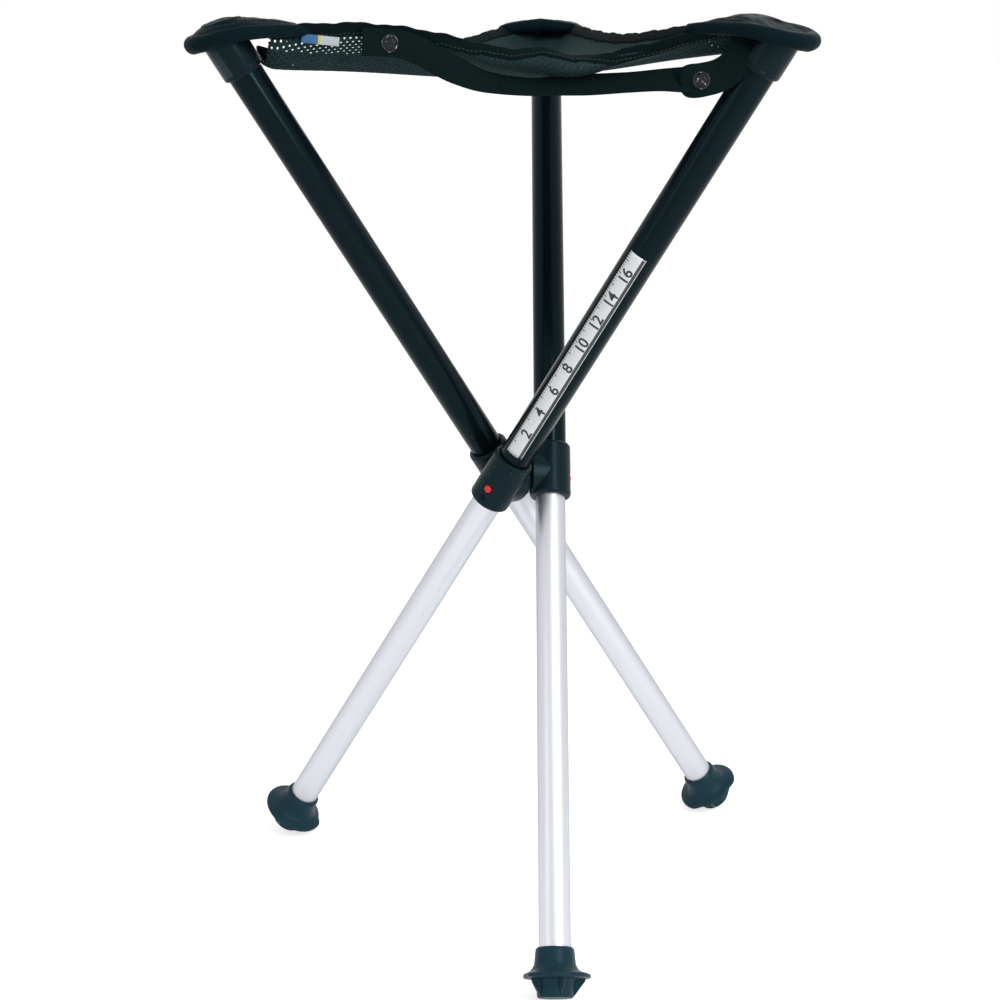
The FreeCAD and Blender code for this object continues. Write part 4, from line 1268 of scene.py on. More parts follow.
def trim_net(net):
    made = bmesh.new()
    made.from_mesh(net.data)
    centres = np.array([face.calc_center_median() for face in made.faces])
    angles = np.arctan2(centres[:, 1], centres[:, 0])
    inside = np.hypot(centres[:, 0], centres[:, 1]) < round_table("flat", angles)
    doomed = [face for face, keep in zip(list(made.faces), inside) if not keep]
    bmesh.ops.delete(made, geom=doomed, context="FACES")
    loose = [vertex for vertex in made.verts if not vertex.link_faces]
    bmesh.ops.delete(made, geom=loose, context="VERTS")
    made.to_mesh(net.data)
    made.free()


def thicken_net(net):
    wall = net.modifiers.new("wall", "SOLIDIFY")
    wall.thickness = NET_THICK
    wall.offset = 0
    round_off = net.modifiers.new("round_off", "SUBSURF")
    round_off.levels = round_off.render_levels = 1
    applied(net)


def hung_net(net):
    """Moves every vertex of the flat net to its place on the hanging cloth."""
    count = len(net.data.vertices)
    flat = np.zeros(count * 3)
    net.data.vertices.foreach_get("co", flat)
    flat = flat.reshape(-1, 3)
    x, y = flat[:, 0], flat[:, 1]
    rows = NET_RIB * np.cos(2 * math.pi * y / NET_ROW)
    return hang(x, y) + cloth_normal(x, y) * (flat[:, 2] + rows)[:, None], flat


def third_size(points, direction):
    """Width, length and area of a third of the flat cloth, from its own points."""
    along = points @ direction
    across = points @ np.array([-direction[1], direction[0]])
    angles = np.linspace(-math.pi / 3, math.pi / 3, 121) + math.atan2(direction[1], direction[0])
    area = 0.5 * float((round_table("flat", angles) ** 2).mean()) * (2 * math.pi / 3)
    return float(np.ptp(across)), float(np.ptp(along)), area


def close_cuts(mesh):
    """Caps every yarn that the cut between two thirds left open."""
    made = bmesh.new()
    made.from_mesh(mesh)
    open_edges = [edge for edge in made.edges if edge.is_boundary]
    bmesh.ops.holes_fill(made, edges=open_edges, sides=0)
    made.to_mesh(mesh)
    made.free()


def cut_in_thirds(net, places, flat):
    """One piece for each corner, from the faces that lie nearest to its direction."""
    directions = np.array([[outward(leg).x, outward(leg).y] for leg in LEGS])
    faces = np.array([list(polygon.vertices) for polygon in net.data.polygons])
    centres = flat[faces].mean(axis=1)[:, :2]
    owner = np.argmax(centres @ directions.T, axis=1)
    pieces = {}
    for number, leg in enumerate(LEGS):
        mine = faces[owner == number]
        used, local = np.unique(mine, return_inverse=True)
        third_size(flat[used][:, :2], directions[number])
        mesh = bpy.data.meshes.new(f"seat_net_{leg}")
        mesh.from_pydata(places[used].tolist(), [], local.reshape(mine.shape).tolist())
        mesh.polygons.foreach_set("use_smooth", [True] * len(mesh.polygons))
        corners = flat[used][:, :2][local.reshape(-1)]
        mesh.uv_layers.new(name="UVMap").data.foreach_set("uv", corners.reshape(-1))
        close_cuts(mesh)
        pieces[leg] = placed(f"seat_net_{leg}", mesh)
    return pieces


def bend_with(piece, leg):
    """Bakes the piece's place into its mesh; the piece follows neither the hub nor the leg."""
    away = outward(leg)
    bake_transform(piece)


trim_net(net)
thicken_net(net)
places, flat = hung_net(net)
nets = cut_in_thirds(net, places, flat)
bpy.data.objects.remove(net)
for leg, piece in nets.items():
    dress(piece, "mesh_fabric", None, "seat_mesh")
    bend_with(piece, leg)
    print(piece.name, 2 * len(piece.data.polygons), "triangles")

# %% [markdown]
# Tape, strap, tab and tag are flat strips. Each is a rounded rectangle swept along frames, and a
# frame is a place, a direction across the strip and a direction out of its face. A remesh or a
# cloth simulation would erase such thin pieces, so they are modelled directly.

# %% Sweeping a strip


def strip_section(width, thick, edge):
    """A rounded rectangle, as points across the strip and out of its face."""
    half, rise = width / 2, thick / 2
    return rounded([(-half, -rise), (half, -rise), (half, rise), (-half, rise)], edge, 3)


def swept(name, frames, section):
    """A closed strip along (place, across, out) frames, with a UV map in metres."""
    made = bmesh.new()
    uv = made.loops.layers.uv.new("UVMap")
    rings = []
    lengths = [0.0]
    for number, (place, across, out) in enumerate(frames):
        rings.append([made.verts.new(place + across * p[0] + out * p[1]) for p in section])
        if number:
            lengths.append(lengths[-1] + (place - frames[number - 1][0]).length)
    quads = []
    for number in range(len(rings) - 1):
        here, there = rings[number], rings[number + 1]
        start, end = lengths[number], lengths[number + 1]
        for index in range(len(section)):
            other = (index + 1) % len(section)
            left, right = section[index][0], section[other][0]
            quads.append(((here[index], (start, left)), (here[other], (start, right)),
                          (there[other], (end, right)), (there[index], (end, left))))
    uv_faces(made, uv, quads)
    made.faces.new(rings[0][::-1])
    made.faces.new(rings[-1])
    bmesh.ops.recalc_face_normals(made, faces=made.faces)
    return finished(name, made)


def frames_along(points, across):
    """Frames from places and rough across directions; out points away from the seat's middle."""
    frames = []
    for number, place in enumerate(points):
        before = points[max(number - 1, 0)]
        after = points[min(number + 1, len(points) - 1)]
        along = (after - before).normalized()
        side = across[number] - along * across[number].dot(along)
        side.normalize()
        frames.append((place, side, side.cross(along).normalized()))
    return frames


# %% [markdown]
# A folded tape binds each edge of the cloth. It follows the rim and hangs down the cloth from
# there, so its frames come from the rim's curve and the cloth's own slope. Every edge is two
# pieces that meet in the middle, each named for the leg at its own end.

# %% The edge bindings
TAPE_ABOVE = 2.0 * MM
TAPE_BELOW = 7.0 * MM
TAPE_THICK = 2.6 * MM
TAPE_EDGE = 1.2 * MM
TAPE_STEPS = 70
TAPE_SLOPE_AT = 0.955
TAPE_RIPPLE = (0.5 * MM, 0.3 * MM)


def cloth_down(point):
    """The direction down the cloth from a point of its rim."""
    angle = math.atan2(point.y, point.x)
    length = float(round_table("flat", np.array([angle]))[0])
    spread = np.array([1.0, TAPE_SLOPE_AT]) * length
    near, far = hang(spread * math.cos(angle), spread * math.sin(angle))
    return Vector((far - near).tolist()).normalized()


def binding_frames(edge, first, last):
    points, across = [], []
    for step in range(TAPE_STEPS + 1):
        share = first + (last - first) * step / TAPE_STEPS
        point = rim_point(edge, share)
        down = cloth_down(point)
        ripple = TAPE_RIPPLE[0] * math.sin(share * 61) + TAPE_RIPPLE[1] * math.sin(share * 143 + 1)
        points.append(point + down * ((TAPE_BELOW - TAPE_ABOVE) / 2 + ripple))
        across.append(down)
    return frames_along(points, across)


section = strip_section(TAPE_ABOVE + TAPE_BELOW, TAPE_THICK, TAPE_EDGE)
for edge, (first_leg, last_leg) in EDGES.items():
    for leg, start, end in ((first_leg, 0.0, 0.5), (last_leg, 0.5, 1.0)):
        piece = swept(f"binding_{edge}_{leg}", binding_frames(edge, start, end), section)
        dress(piece, "binding_tape", None, f"edge_binding_{edge}")
        bend_with(piece, leg)
print(2 * len(EDGES), "half bindings")

# %% [markdown]
# The carry strap hangs in front of the near edge. Its left end lies over the binding, and it
# droops under the belly of the cloth to the tab at the right. The stations give its middle: how
# far along the edge from the edge's middle, how high above the seat's level, how far out, and
# how much its upper edge leans in. All are sizes in millimetres and degrees.

# %% The carry strap
STRAP_WIDTH = 18 * MM
STRAP_THICK = 1.8 * MM
STRAP_EDGE = 0.8 * MM
STRAP_STATIONS = (
    (-89, 8.0, 9.6, 0), (-75, 7.4, 8.2, 0), (-63, 6.0, 6.8, 0), (-52, 2.0, 5.8, 2), (-42, -3.2, 5.0, 4),
    (-36, -6.6, 4.6, 8), (-27, -11.0, 4.0, 17), (-10, -17.6, 1.5, 42), (19, -21.3, -2.0, 54),
    (39, -20.6, -2.2, 49), (61, -19.8, 0.5, 44), (85, -18.4, 5.0, 47), (106, -16.8, 9.2, 42),
    (118, -16.6, 10.8, 32), (130, -16.6, 12.2, 20),
)
STRAP_STEPS = 120

NEAR_START = cloth_corner("c", 1)
NEAR_END = cloth_corner("a", -1)
EDGE_ALONG = Vector((NEAR_END.x - NEAR_START.x, NEAR_END.y - NEAR_START.y, 0)).normalized()
EDGE_OUT = EDGE_ALONG.cross(UP)
NEAR_MIDDLE = rim_point("near", 0.5)


def near_place(along, height, out):
    """A place from the near edge's middle: along the edge, above the seat's level, and out from it."""
    flat = Vector((NEAR_MIDDLE.x, NEAR_MIDDLE.y, SEAT_LEVEL))
    return flat + EDGE_ALONG * along + EDGE_OUT * out + UP * height


def strap_frames(first, last, steps):
    columns = [[(s[0], s[index]) for s in STRAP_STATIONS] for index in (1, 2, 3)]
    points, across = [], []
    for step in range(steps + 1):
        place = first + (last - first) * step / steps
        height, out, lean = (smooth_value(column, place) for column in columns)
        points.append(near_place(place * MM, height * MM, out * MM))
        turn = math.radians(lean)
        across.append(-UP * math.cos(turn) + EDGE_OUT * math.sin(turn))
    return frames_along(points, across)


STRAP_START, STRAP_SPLIT, STRAP_END = STRAP_STATIONS[0][0], 0.0, STRAP_STATIONS[-1][0]
section = strip_section(STRAP_WIDTH, STRAP_THICK, STRAP_EDGE)
for leg, first, last in (("c", STRAP_START, STRAP_SPLIT), ("a", STRAP_SPLIT, STRAP_END)):
    strap = swept(f"carry_strap_{leg}", strap_frames(first, last, STRAP_STEPS), section)
    dress(strap, "webbing", None, "carry_strap")
    bend_with(strap, leg)
print("strap from", STRAP_START, "to", STRAP_END, "mm along the near edge")

# %% [markdown]
# The tab that the strap snaps to comes out from under the right corner's leather, runs down past
# the cap and ends in a blunt nose in front of the strap's end. It tapers into the nose.

# %% The strap's tab
TAB_STATIONS = (
    (118.5, -18.4, 13.4, 11.5), (121.0, -18.1, 13.8, 18.5), (125.5, -17.5, 14.6, 21.5),
    (132.5, -16.7, 15.6, 21.5), (143.5, -13.8, 17.0, 21.0), (152.5, -7.6, 19.6, 20.5),
    (158.5, 1.0, 20.4, 20.5), (160.5, 9.4, 18.4, 20.5),
)
TAB_STEPS = 60
TAB_THICK = 2.0 * MM
TAB_EDGE = 0.9 * MM
TAB_LEAN = 0.6


def tab_piece():
    columns = [[(number, s[index]) for number, s in enumerate(TAB_STATIONS)] for index in range(4)]
    last = len(TAB_STATIONS) - 1
    points, widths = [], []
    for step in range(TAB_STEPS + 1):
        place = last * step / TAB_STEPS
        along, height, out, width = (smooth_value(column, place) for column in columns)
        points.append(near_place(along * MM, height * MM, out * MM))
        widths.append(width * MM)
    frames = frames_along(points, [-UP + EDGE_ALONG * TAB_LEAN] * len(points))
    scaled = [(place, side * (width / STRAP_WIDTH), out)
              for (place, side, out), width in zip(frames, widths)]
    return swept("strap_tab_strip", scaled, strip_section(STRAP_WIDTH, TAB_THICK, TAB_EDGE))


tab = tab_piece()
dress(tab, "webbing", None, "strap_tab")
bend_with(tab, "a")
print("tab", [round(v / MM, 1) for v in tab.dimensions])

# %% [markdown]
# The press studs are turned: a low dome with a raised ring round it, so that the ring catches
# a bright line, as the photograph shows, and their finish also paints a pale highlight on the
# ring's sharp edges. One stands on the strap's own outward direction, and the other faces
# outwards from the tab, turned a little to the left.

# %% The press studs
STUD_SINK = 0.3 * MM
STUD_PROFILE = (
    (0.0, 0.0, 0), (6.0, 0.0, 0.3), (6.0, 0.7, 0.3), (5.6, 1.2, 0.3), (5.1, 1.45, 0.3), (4.6, 1.3, 0.3),
    (4.25, 0.75, 0.2), (3.2, 0.8, 0.3), (2.7, 1.3, 0.4), (1.7, 1.55, 0.5), (0.0, 1.62, 0),
)
STRAP_STUD_FROM, STRAP_STUD_TO = -71.5, -70
TAB_STUD_PLACE = (132.4 * MM, -16.7 * MM, 15.4 * MM)
TAB_STUD_LIFT = 1.0 * MM
TAB_STUD_TURN = 0.15


def press_stud(name, place, out, across, leg, node):
    side = across.cross(out).normalized()
    matrix = Matrix((side.cross(out), side, out)).transposed().to_4x4()
    matrix.translation = place - out * STUD_SINK
    piece = turn_profile(name, profile(STUD_PROFILE, 3), matrix, 64)
    dress(piece, "stud_metal", None, node)
    bend_with(piece, leg)


place, across, out = strap_frames(STRAP_STUD_FROM, STRAP_STUD_TO, 2)[1]
out = out if out.dot(EDGE_OUT) > 0 else -out
press_stud("strap_stud", place + out * STRAP_THICK / 2, out, across, "c", "press_stud_strap")
out = (EDGE_OUT - EDGE_ALONG * TAB_STUD_TURN).normalized()
press_stud("tab_stud", near_place(*TAB_STUD_PLACE) + out * TAB_STUD_LIFT, out, -UP, "a", "press_stud_tab")
print("two press studs")

# %% [markdown]
# A small woven tag is caught in the near edge's seam, at the left. It's plain, in two colours: a
# blue part and a pale part, with a thin yellow line between them. It curls a little.

# %% The tag
TAG_LENGTH = 24 * MM
TAG_HEIGHT = 5.8 * MM
TAG_THICK = 0.7 * MM
TAG_EDGE = 0.25 * MM
TAG_START = -128
TAG_RISE = 10.6
TAG_FALL = 2.6
TAG_CURL = 0.5 * MM
TAG_OUT = 2.6 * MM
TAG_LEAN = 0.12
TAG_STEPS = 24
HALF_EDGE = 144.8 * MM
RIM_OUT = 16.4 * MM


def seat_tag():
    points, across = [], []
    for step in range(TAG_STEPS + 1):
        share = step / TAG_STEPS
        along = TAG_START * MM + TAG_LENGTH * share
        curl = TAG_CURL * math.sin(share * 5.0)
        rim_out = RIM_OUT * (along / HALF_EDGE) ** 2
        points.append(near_place(along, (TAG_RISE - TAG_FALL * share) * MM, rim_out + TAG_OUT + curl))
        across.append(-UP + EDGE_OUT * TAG_LEAN)
    section = strip_section(TAG_HEIGHT, TAG_THICK, TAG_EDGE)
    return swept("seat_tag_woven", frames_along(points, across), section)


tag = seat_tag()
dress(tag, "tag_cloth", None, "seat_tag")
bend_with(tag, "c")
print("tag", [round(v / MM, 1) for v in tag.dimensions])

# %% [markdown]
# Each corner of the seat is a padded leather hood that is sewn round the cloth's corner and
# pulled over the leg's cap. It is one closed form in polar rows: the top falls from a ridge to
# a thick rolled rim, the rim turns under, and the underside rises again to make room for the cap.
# The outline, the ridge and the rim are short lists of sizes in the corner's own axes.

# %% The corner pockets
POCKET_MIDDLE = -7.0
POCKET_OUTLINE = (
    (0, 39.5), (20, 38.5), (38, 36), (55, 33.5), (75, 31), (95, 30), (115, 31.5), (130, 36.5),
    (142, 45), (150, 48), (160, 43), (180, 40),
)
POCKET_SPREAD = {"a": 1.0, "b": 1.2, "c": 1.0}
POCKET_RIDGE = {
    "a": ((-50, 18.4), (-38, 20.0), (-24, 22.8), (-14, 24.0), (-6, 21.8), (2, 18.0), (10, 14.6), (18, 12.0),
          (26, 10.2), (34, 8.4)),
    "b": ((-50, 23.0), (-38, 22.6), (-24, 21.4), (-12, 20.2), (-4, 19.0), (2, 17.6), (10, 15.2), (18, 12.2),
          (26, 9.0), (34, 6.0)),
    "c": ((-50, 19.0), (-38, 21.4), (-24, 23.0), (-12, 23.8), (-4, 24.0), (2, 23.8), (10, 23.2), (18, 22.0),
          (26, 19.8), (34, 15.0)),
}
SIDE_RIM = (
    (0, 6.2), (25, 7.6), (45, 10.4), (75, 13.6), (110, 15.0), (130, 15.2), (147, 15.0), (165, 13.6),
    (180, 13.0),
)
BACK_RIM = (
    (0, 5.6), (40, 6.4), (75, 8.4), (110, 11.0), (130, 13.2), (147, 15.4), (165, 17.4), (180, 18.2),
)
RIM_MIDDLE = {"a": SIDE_RIM, "b": BACK_RIM, "c": SIDE_RIM}
RIM_ROLL = ((0, 5.8), (45, 5.2), (90, 4.6), (125, 4.2), (147, 3.4), (165, 4.6), (180, 5.2))
POCKET_WALL = 2.9
CAP_ROOM = 15.1
POCKET_TURNS = 192
POCKET_TOP_ROWS = 30
POCKET_ROLL_ROWS = 10
POCKET_WOBBLE = 0.012
PRINT_RADIUS, PRINT_WIDTH, PRINT_HEIGHT = 14.6, 1.2, 0.7
SEAM_SPAN, SEAM_AT, SEAM_WIDTH, SEAM_DEPTH = 34, 5.4, 0.9, 0.75
LONG_CREASE, SHORT_CREASE = 0.9, 0.25
RIDGE_POWER = 4.2
CAP_GAP = 0.5
THIN_WALL = 1.2
CAP_COVER = 1.4
COVER_FADE, LIFT_FADE = 4.0, 6.0


def corner_matrix(leg):
    """The corner's axes: X outwards, Z up, from the point where the leg meets the seat's level."""
    away = outward(leg)
    matrix = Matrix((away, UP.cross(away), UP)).transposed().to_4x4()
    matrix.translation = CORNERS[leg]
    return matrix


def cap_ceiling(x, y, into_leg, end):
    """How high the cap's end is over a place in the corner's axes, and how far out from its middle."""
    origin = into_leg @ Vector((x, y, 0))
    slope = into_leg.to_3x3() @ UP
    height = (end - origin.z) / slope.z
    spot = origin + slope * height
    return height, math.hypot(spot.x, spot.y)


def bump_at(distance, middle, width):
    """1 at the middle, and smoothly 0 beyond the width."""
    return math.exp(-((distance - middle) / width) ** 2)


def pocket_heights(x, y, share, rim_line, cap, ridge_stops, seed):
    """Top and underside of the hood at a place and a share of the way to the rim's roll."""
    middle, roll = rim_line
    ridge = smooth_value(ridge_stops, x)
    fall = 1 - share ** RIDGE_POWER
    top = middle + roll + (ridge - middle - roll) * fall
    ceiling, distance = cap_ceiling(x * MM, y * MM, *cap)
    print_ring = PRINT_HEIGHT * bump_at(distance / MM, PRINT_RADIUS, PRINT_WIDTH) * (1 - share ** 6)
    ease = 1 - share ** 8
    crease = noise.noise(Vector((x / 13, y / 9, seed))) * LONG_CREASE
    crease += noise.noise(Vector((x / 5, y / 5, seed + 7))) * SHORT_CREASE
    seam = -SEAM_DEPTH * bump_at((1 - share) * SEAM_SPAN, SEAM_AT, SEAM_WIDTH)
    top += (crease + seam) * ease + print_ring
    roof = ceiling / MM + CAP_GAP
    cover = eased((CAP_ROOM + CAP_GAP + COVER_FADE - distance / MM) / COVER_FADE)
    under_cap = min(top - THIN_WALL, max(roof, top - POCKET_WALL))
    plain = middle - roll + (min(top - POCKET_WALL, middle + roll) - middle + roll) * (1 - share ** 2) * 0.35
    under = plain + (under_cap - plain) * cover
    over_cap = eased((CAP_ROOM + LIFT_FADE - distance / MM) / LIFT_FADE)
    lift = max(roof + CAP_COVER - top, 0.0) * over_cap
    return top + lift, under


def cap_under(leg):
    """The way from the corner's axes into the leg's, and how high the cap's end is."""
    return leg_matrix(leg).inverted() @ corner_matrix(leg), reach(f"top_cap_{leg}", leg)[1]


def pocket_ring(leg, turn, seed, uneven):
    """The way out at one turn, the reach to the rim's roll, and the roll's middle and radius."""
    angle = 360 * turn / POCKET_TURNS
    side = 1 if angle <= 180 else -1
    angle = angle if angle <= 180 else 360 - angle
    sideways = side * math.sin(math.radians(angle)) * POCKET_SPREAD[leg]
    away = Vector((math.cos(math.radians(angle)), sideways))
    wobble = 1 + uneven * noise.noise(Vector((away.x * 2.4, away.y * 2.4, seed + 3)))
    roll = smooth_value(RIM_ROLL, angle)
    inner = smooth_value(POCKET_OUTLINE, angle) * wobble - roll
    return away, inner, smooth_value(RIM_MIDDLE[leg], angle), roll


def corner_pocket(leg, seed):
    cap = cap_under(leg)
    ridge = POCKET_RIDGE[leg]
    made = bmesh.new()
    columns = []
    for turn in range(POCKET_TURNS):
        away, inner, middle, roll = pocket_ring(leg, turn, seed, POCKET_WOBBLE)
        column = []
        unders = []
        for row in range(1, POCKET_TOP_ROWS + 1):
            share = row / POCKET_TOP_ROWS
            x = POCKET_MIDDLE + away.x * inner * share
            y = away.y * inner * share
            top, under = pocket_heights(x, y, share, (middle, roll), cap, ridge, seed)
            column.append((x, y, top))
            unders.append((x, y, under))
        for row in range(1, POCKET_ROLL_ROWS):
            bend = math.pi * row / POCKET_ROLL_ROWS
            far = inner + roll * math.sin(bend)
            height = middle + roll * math.cos(bend)
            column.append((POCKET_MIDDLE + away.x * far, away.y * far, height))
        column += unders[::-1]
        columns.append([made.verts.new(Vector(point) * MM) for point in column])
    rim_line = (smooth_value(RIM_MIDDLE[leg], 90), smooth_value(RIM_ROLL, 90))
    top, under = pocket_heights(POCKET_MIDDLE, 0, 0, rim_line, cap, ridge, seed)
    top_centre = made.verts.new(Vector((POCKET_MIDDLE, 0, top)) * MM)
    bottom_centre = made.verts.new(Vector((POCKET_MIDDLE, 0, under)) * MM)
    for turn in range(POCKET_TURNS):
        here, there = columns[turn], columns[(turn + 1) % POCKET_TURNS]
        made.faces.new((top_centre, here[0], there[0]))
        made.faces.new((bottom_centre, there[-1], here[-1]))
        for row in range(len(here) - 1):
            made.faces.new((here[row], here[row + 1], there[row + 1], there[row]))
    bmesh.ops.recalc_face_normals(made, faces=made.faces)
    return finished(f"corner_pocket_{leg}_leather", made, corner_matrix(leg))


SEED_STEP = 11.0
for number, leg in enumerate(LEGS):
    pocket = corner_pocket(leg, number * SEED_STEP)
    dress(pocket, "pocket_leather", f"leg_{leg}", f"corner_pocket_{leg}")
print("three pockets of", len(pocket.data.polygons), "faces")

# %% [markdown]
# The label is a thin film on the right front leg, with a plain scale: the ticks come from the
# film's UV map, and the numbers are cut from text, bent round the tube and raised a hair above
# the film.

# %% The label's film
LABEL_LEG = "a"
LABEL_THICK = 0.14 * MM
LABEL_COLUMNS = 24
LABEL_ROWS = 60


def label_reach():
    """The film's ends along the leg, its first and last turn about it, and the tube's radius."""
    points = leg_points("tube_label", LABEL_LEG)
    heights = [point.z for point in points]
    turns = [math.atan2(point.y, point.x) for point in points]
    return min(heights), max(heights), min(turns), max(turns), min(math.hypot(p.x, p.y) for p in points)


LABEL_LOW, LABEL_HIGH, LABEL_FIRST, LABEL_LAST, LABEL_RADIUS = label_reach()


def on_label(along, across, above_film):
    """A place on the tube, from metres up the film, metres across it and a height over its face."""
    radius = LABEL_RADIUS + LABEL_THICK + above_film
    turn = LABEL_FIRST + across / LABEL_RADIUS
    return Vector((radius * math.cos(turn), radius * math.sin(turn), LABEL_LOW + along))


def label_film():
    wide = (LABEL_LAST - LABEL_FIRST) * LABEL_RADIUS
    tall = LABEL_HIGH - LABEL_LOW
    made = bmesh.new()
    uv = made.loops.layers.uv.new("UVMap")
    sheets = []
    for depth in (0.0, -LABEL_THICK):
        rows = []
        for row in range(LABEL_ROWS + 1):
            spots = [(tall * row / LABEL_ROWS, wide * column / LABEL_COLUMNS)
                     for column in range(LABEL_COLUMNS + 1)]
            rows.append([(made.verts.new(on_label(*spot, depth)), spot) for spot in spots])
        sheets.append(rows)
    quads = []
    for rows in sheets:
        for low, high in zip(rows, rows[1:]):
            quads += [(low[k], low[k + 1], high[k + 1], high[k]) for k in range(LABEL_COLUMNS)]
    outer, inner = (
        [rows[0], [row[-1] for row in rows], rows[-1][::-1], [row[0] for row in rows][::-1]]
        for rows in sheets)
    for over, under in zip(outer, inner):
        quads += [(over[k], over[k + 1], under[k + 1], under[k]) for k in range(len(over) - 1)]
    uv_faces(made, uv, quads)
    bmesh.ops.recalc_face_normals(made, faces=made.faces)
    return finished("tube_label_film", made, leg_matrix(LABEL_LEG))


film = label_film()
dress(film, "label_film", f"leg_{LABEL_LEG}", "tube_label")
print("label", round((LABEL_HIGH - LABEL_LOW) / MM, 1), "mm long")

# %% The label's numbers
NUMBER_SIZE = 11.0 * MM
NUMBER_ACROSS = 10.1 * MM
NUMBER_STEP = 20 * MM
NUMBER_UNIT = 2
NUMBER_THICKEN = 0.20 * MM
NUMBER_RAISE = 0.05 * MM
NUMBER_GAP = 0.01 * MM
NUMBER_SLICE = 0.6 * MM


def flat_number(text):
    """One number as a thin flat mesh, with its text along X."""
    curve = bpy.data.curves.new("number", "FONT")
    curve.body = text
    curve.size = NUMBER_SIZE
    curve.align_x = "CENTER"
    curve.extrude = NUMBER_RAISE / 2
    curve.offset = NUMBER_THICKEN
    holder = placed("number", curve)
    graph = bpy.context.evaluated_depsgraph_get()
    mesh = bpy.data.meshes.new_from_object(holder.evaluated_get(graph))
    bpy.data.objects.remove(holder)
    return mesh


def label_numbers():
    made = bmesh.new()
    count = int((LABEL_HIGH - LABEL_LOW) / NUMBER_STEP - 0.3)
    for number in range(1, count + 1):
        part = bmesh.new()
        mesh = flat_number(str(number * NUMBER_UNIT))
        part.from_mesh(mesh)
        bpy.data.meshes.remove(mesh)
        bmesh.ops.remove_doubles(part, verts=part.verts, dist=1e-7)
        low = min(vertex.co.y for vertex in part.verts)
        high = max(vertex.co.y for vertex in part.verts)
        slices = int((high - low) / NUMBER_SLICE)
        for cut in range(1, slices + 1):
            level = low + (high - low) * cut / (slices + 1)
            geometry = list(part.verts) + list(part.edges) + list(part.faces)
            bmesh.ops.bisect_plane(part, geom=geometry, plane_co=(0, level, 0), plane_no=(0, 1, 0))
        for vertex in part.verts:
            x, y, z = vertex.co
            lift = z + NUMBER_RAISE / 2 + NUMBER_GAP
            vertex.co = on_label(NUMBER_STEP * number + x, NUMBER_ACROSS - y, lift)
        held = bpy.data.meshes.new("held")
        part.to_mesh(held)
        part.free()
        made.from_mesh(held)
        bpy.data.meshes.remove(held)
    bmesh.ops.recalc_face_normals(made, faces=made.faces)
    return finished("tube_label_numbers", made, leg_matrix(LABEL_LEG), smooth=False)


numbers = label_numbers()
ink = finish(
    "label_ink", (0.008, 0.012, 0.014), (0.014, 0.019, 0.022), 0.4, 0.05, 300.0, (2600.0, 0.00001))[0]
numbers.data.materials.append(ink)
dress(numbers, "label_film", f"leg_{LABEL_LEG}")
print("numbers", len(numbers.data.polygons), "faces")

# %% [markdown]
# Rows of stitches hold the tape and the leather. Geometry Nodes turn each line of points into a
# curve, set it out at the stitch's pitch, and put one small grain of thread at each point, turned
# along the line.

# %% The stitches' node tree
STITCH_PITCH = 2.9 * MM
STITCH_LENGTH = 2.2 * MM
STITCH_WIDTH = 0.62 * MM


def stitch_tree():
    _, make, given, send = geometry_tree("stitches", [
        ("Pitch", FLOAT, STITCH_PITCH), ("Length", FLOAT, STITCH_LENGTH), ("Width", FLOAT, STITCH_WIDTH),
    ])
    curve = make("GeometryNodeMeshToCurve", Mesh=given["Geometry"])[0]
    even = make("GeometryNodeResampleCurve", {"mode": "LENGTH"}, Curve=curve, Length=given["Pitch"])[0]
    grain = make("GeometryNodeMeshUVSphere", Segments=6, Rings=4, Radius=0.5)["Mesh"]
    tangent = make("GeometryNodeInputTangent")[0]
    turn = make("FunctionNodeAlignRotationToVector", {"axis": "X"}, Vector=tangent)[0]
    size = make("ShaderNodeCombineXYZ", X=given["Length"], Y=given["Width"], Z=given["Width"])[0]
    grains = make("GeometryNodeInstanceOnPoints", Points=even, Instance=grain, Rotation=turn, Scale=size)
    return send(grains[0])


STITCHES = stitch_tree()


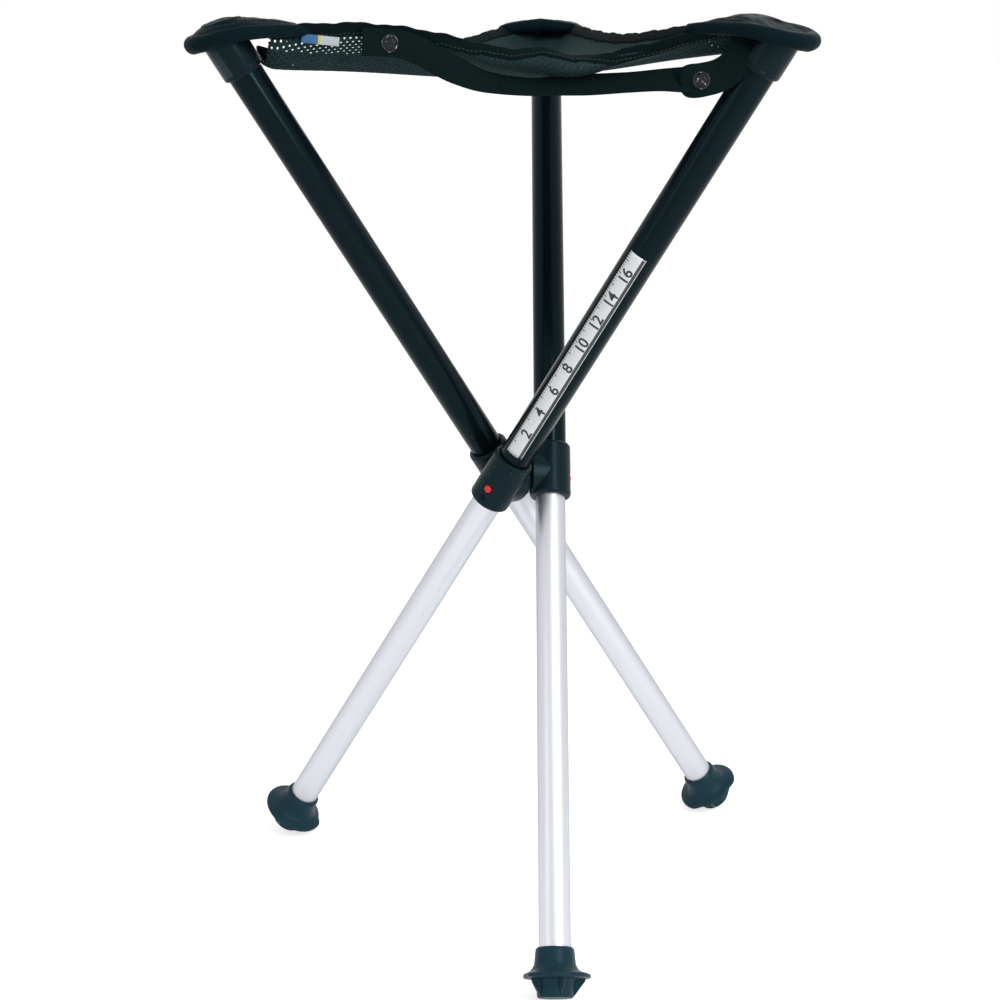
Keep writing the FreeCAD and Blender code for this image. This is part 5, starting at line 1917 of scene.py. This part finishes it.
def sewn(name, lines):
    """Stitches along each line of points, as one piece."""
    places, edges = [], []
    for line in lines:
        start = len(places)
        places += [point[:] for point in line]
        edges += [(start + index, start + index + 1) for index in range(len(line) - 1)]
    piece = placed(name, bpy.data.meshes.new(name))
    piece.data.from_pydata(places, edges, [])
    return with_nodes(piece, *STITCHES, Pitch=STITCH_PITCH, Length=STITCH_LENGTH, Width=STITCH_WIDTH,
                      Material=MATERIALS["sewing_thread"])


# %% Sewing the tape
TAPE_SEAM = 1.9 * MM


def binding_seam(edge, start, end):
    """A line along the tape's outer face, which points away from the middle of the seat."""
    side = (TAPE_ABOVE + TAPE_BELOW) / 2 - TAPE_SEAM
    line = []
    for place, across, out in binding_frames(edge, start, end):
        face = out if out.dot(Vector((place.x, place.y, 0))) > 0 else -out
        line.append(place + across * side + face * TAPE_THICK / 2)
    return line


for leg in LEGS:
    lines = []
    for edge, (first_leg, last_leg) in EDGES.items():
        if leg == first_leg:
            lines.append(binding_seam(edge, 0.0, 0.5))
        if leg == last_leg:
            lines.append(binding_seam(edge, 0.5, 1.0))
    piece = sewn(f"seam_stitches_{leg}", lines)
    dress(piece, "binding_tape", None)
    bend_with(piece, leg)
print("seam stitches sewn")

# %% Sewing the leather
HEM_SHARE = 0.84
HEM_LIFT = 0.05


def hem_line(leg, seed):
    """The line of stitches round a hood's top, in its sewn groove."""
    matrix = corner_matrix(leg)
    cap = cap_under(leg)
    line = []
    for turn in range(POCKET_TURNS + 1):
        away, inner, middle, roll = pocket_ring(leg, turn % POCKET_TURNS, seed, 0)
        x = POCKET_MIDDLE + away.x * inner * HEM_SHARE
        y = away.y * inner * HEM_SHARE
        top, _ = pocket_heights(x, y, HEM_SHARE, (middle, roll), cap, POCKET_RIDGE[leg], seed)
        line.append(matrix @ Vector((x * MM, y * MM, (top + HEM_LIFT) * MM)))
    return line


for number, leg in enumerate(LEGS):
    piece = sewn(f"pocket_stitches_{leg}", [hem_line(leg, number * SEED_STEP)])
    dress(piece, "pocket_leather", f"leg_{leg}")
print("leather sewn")
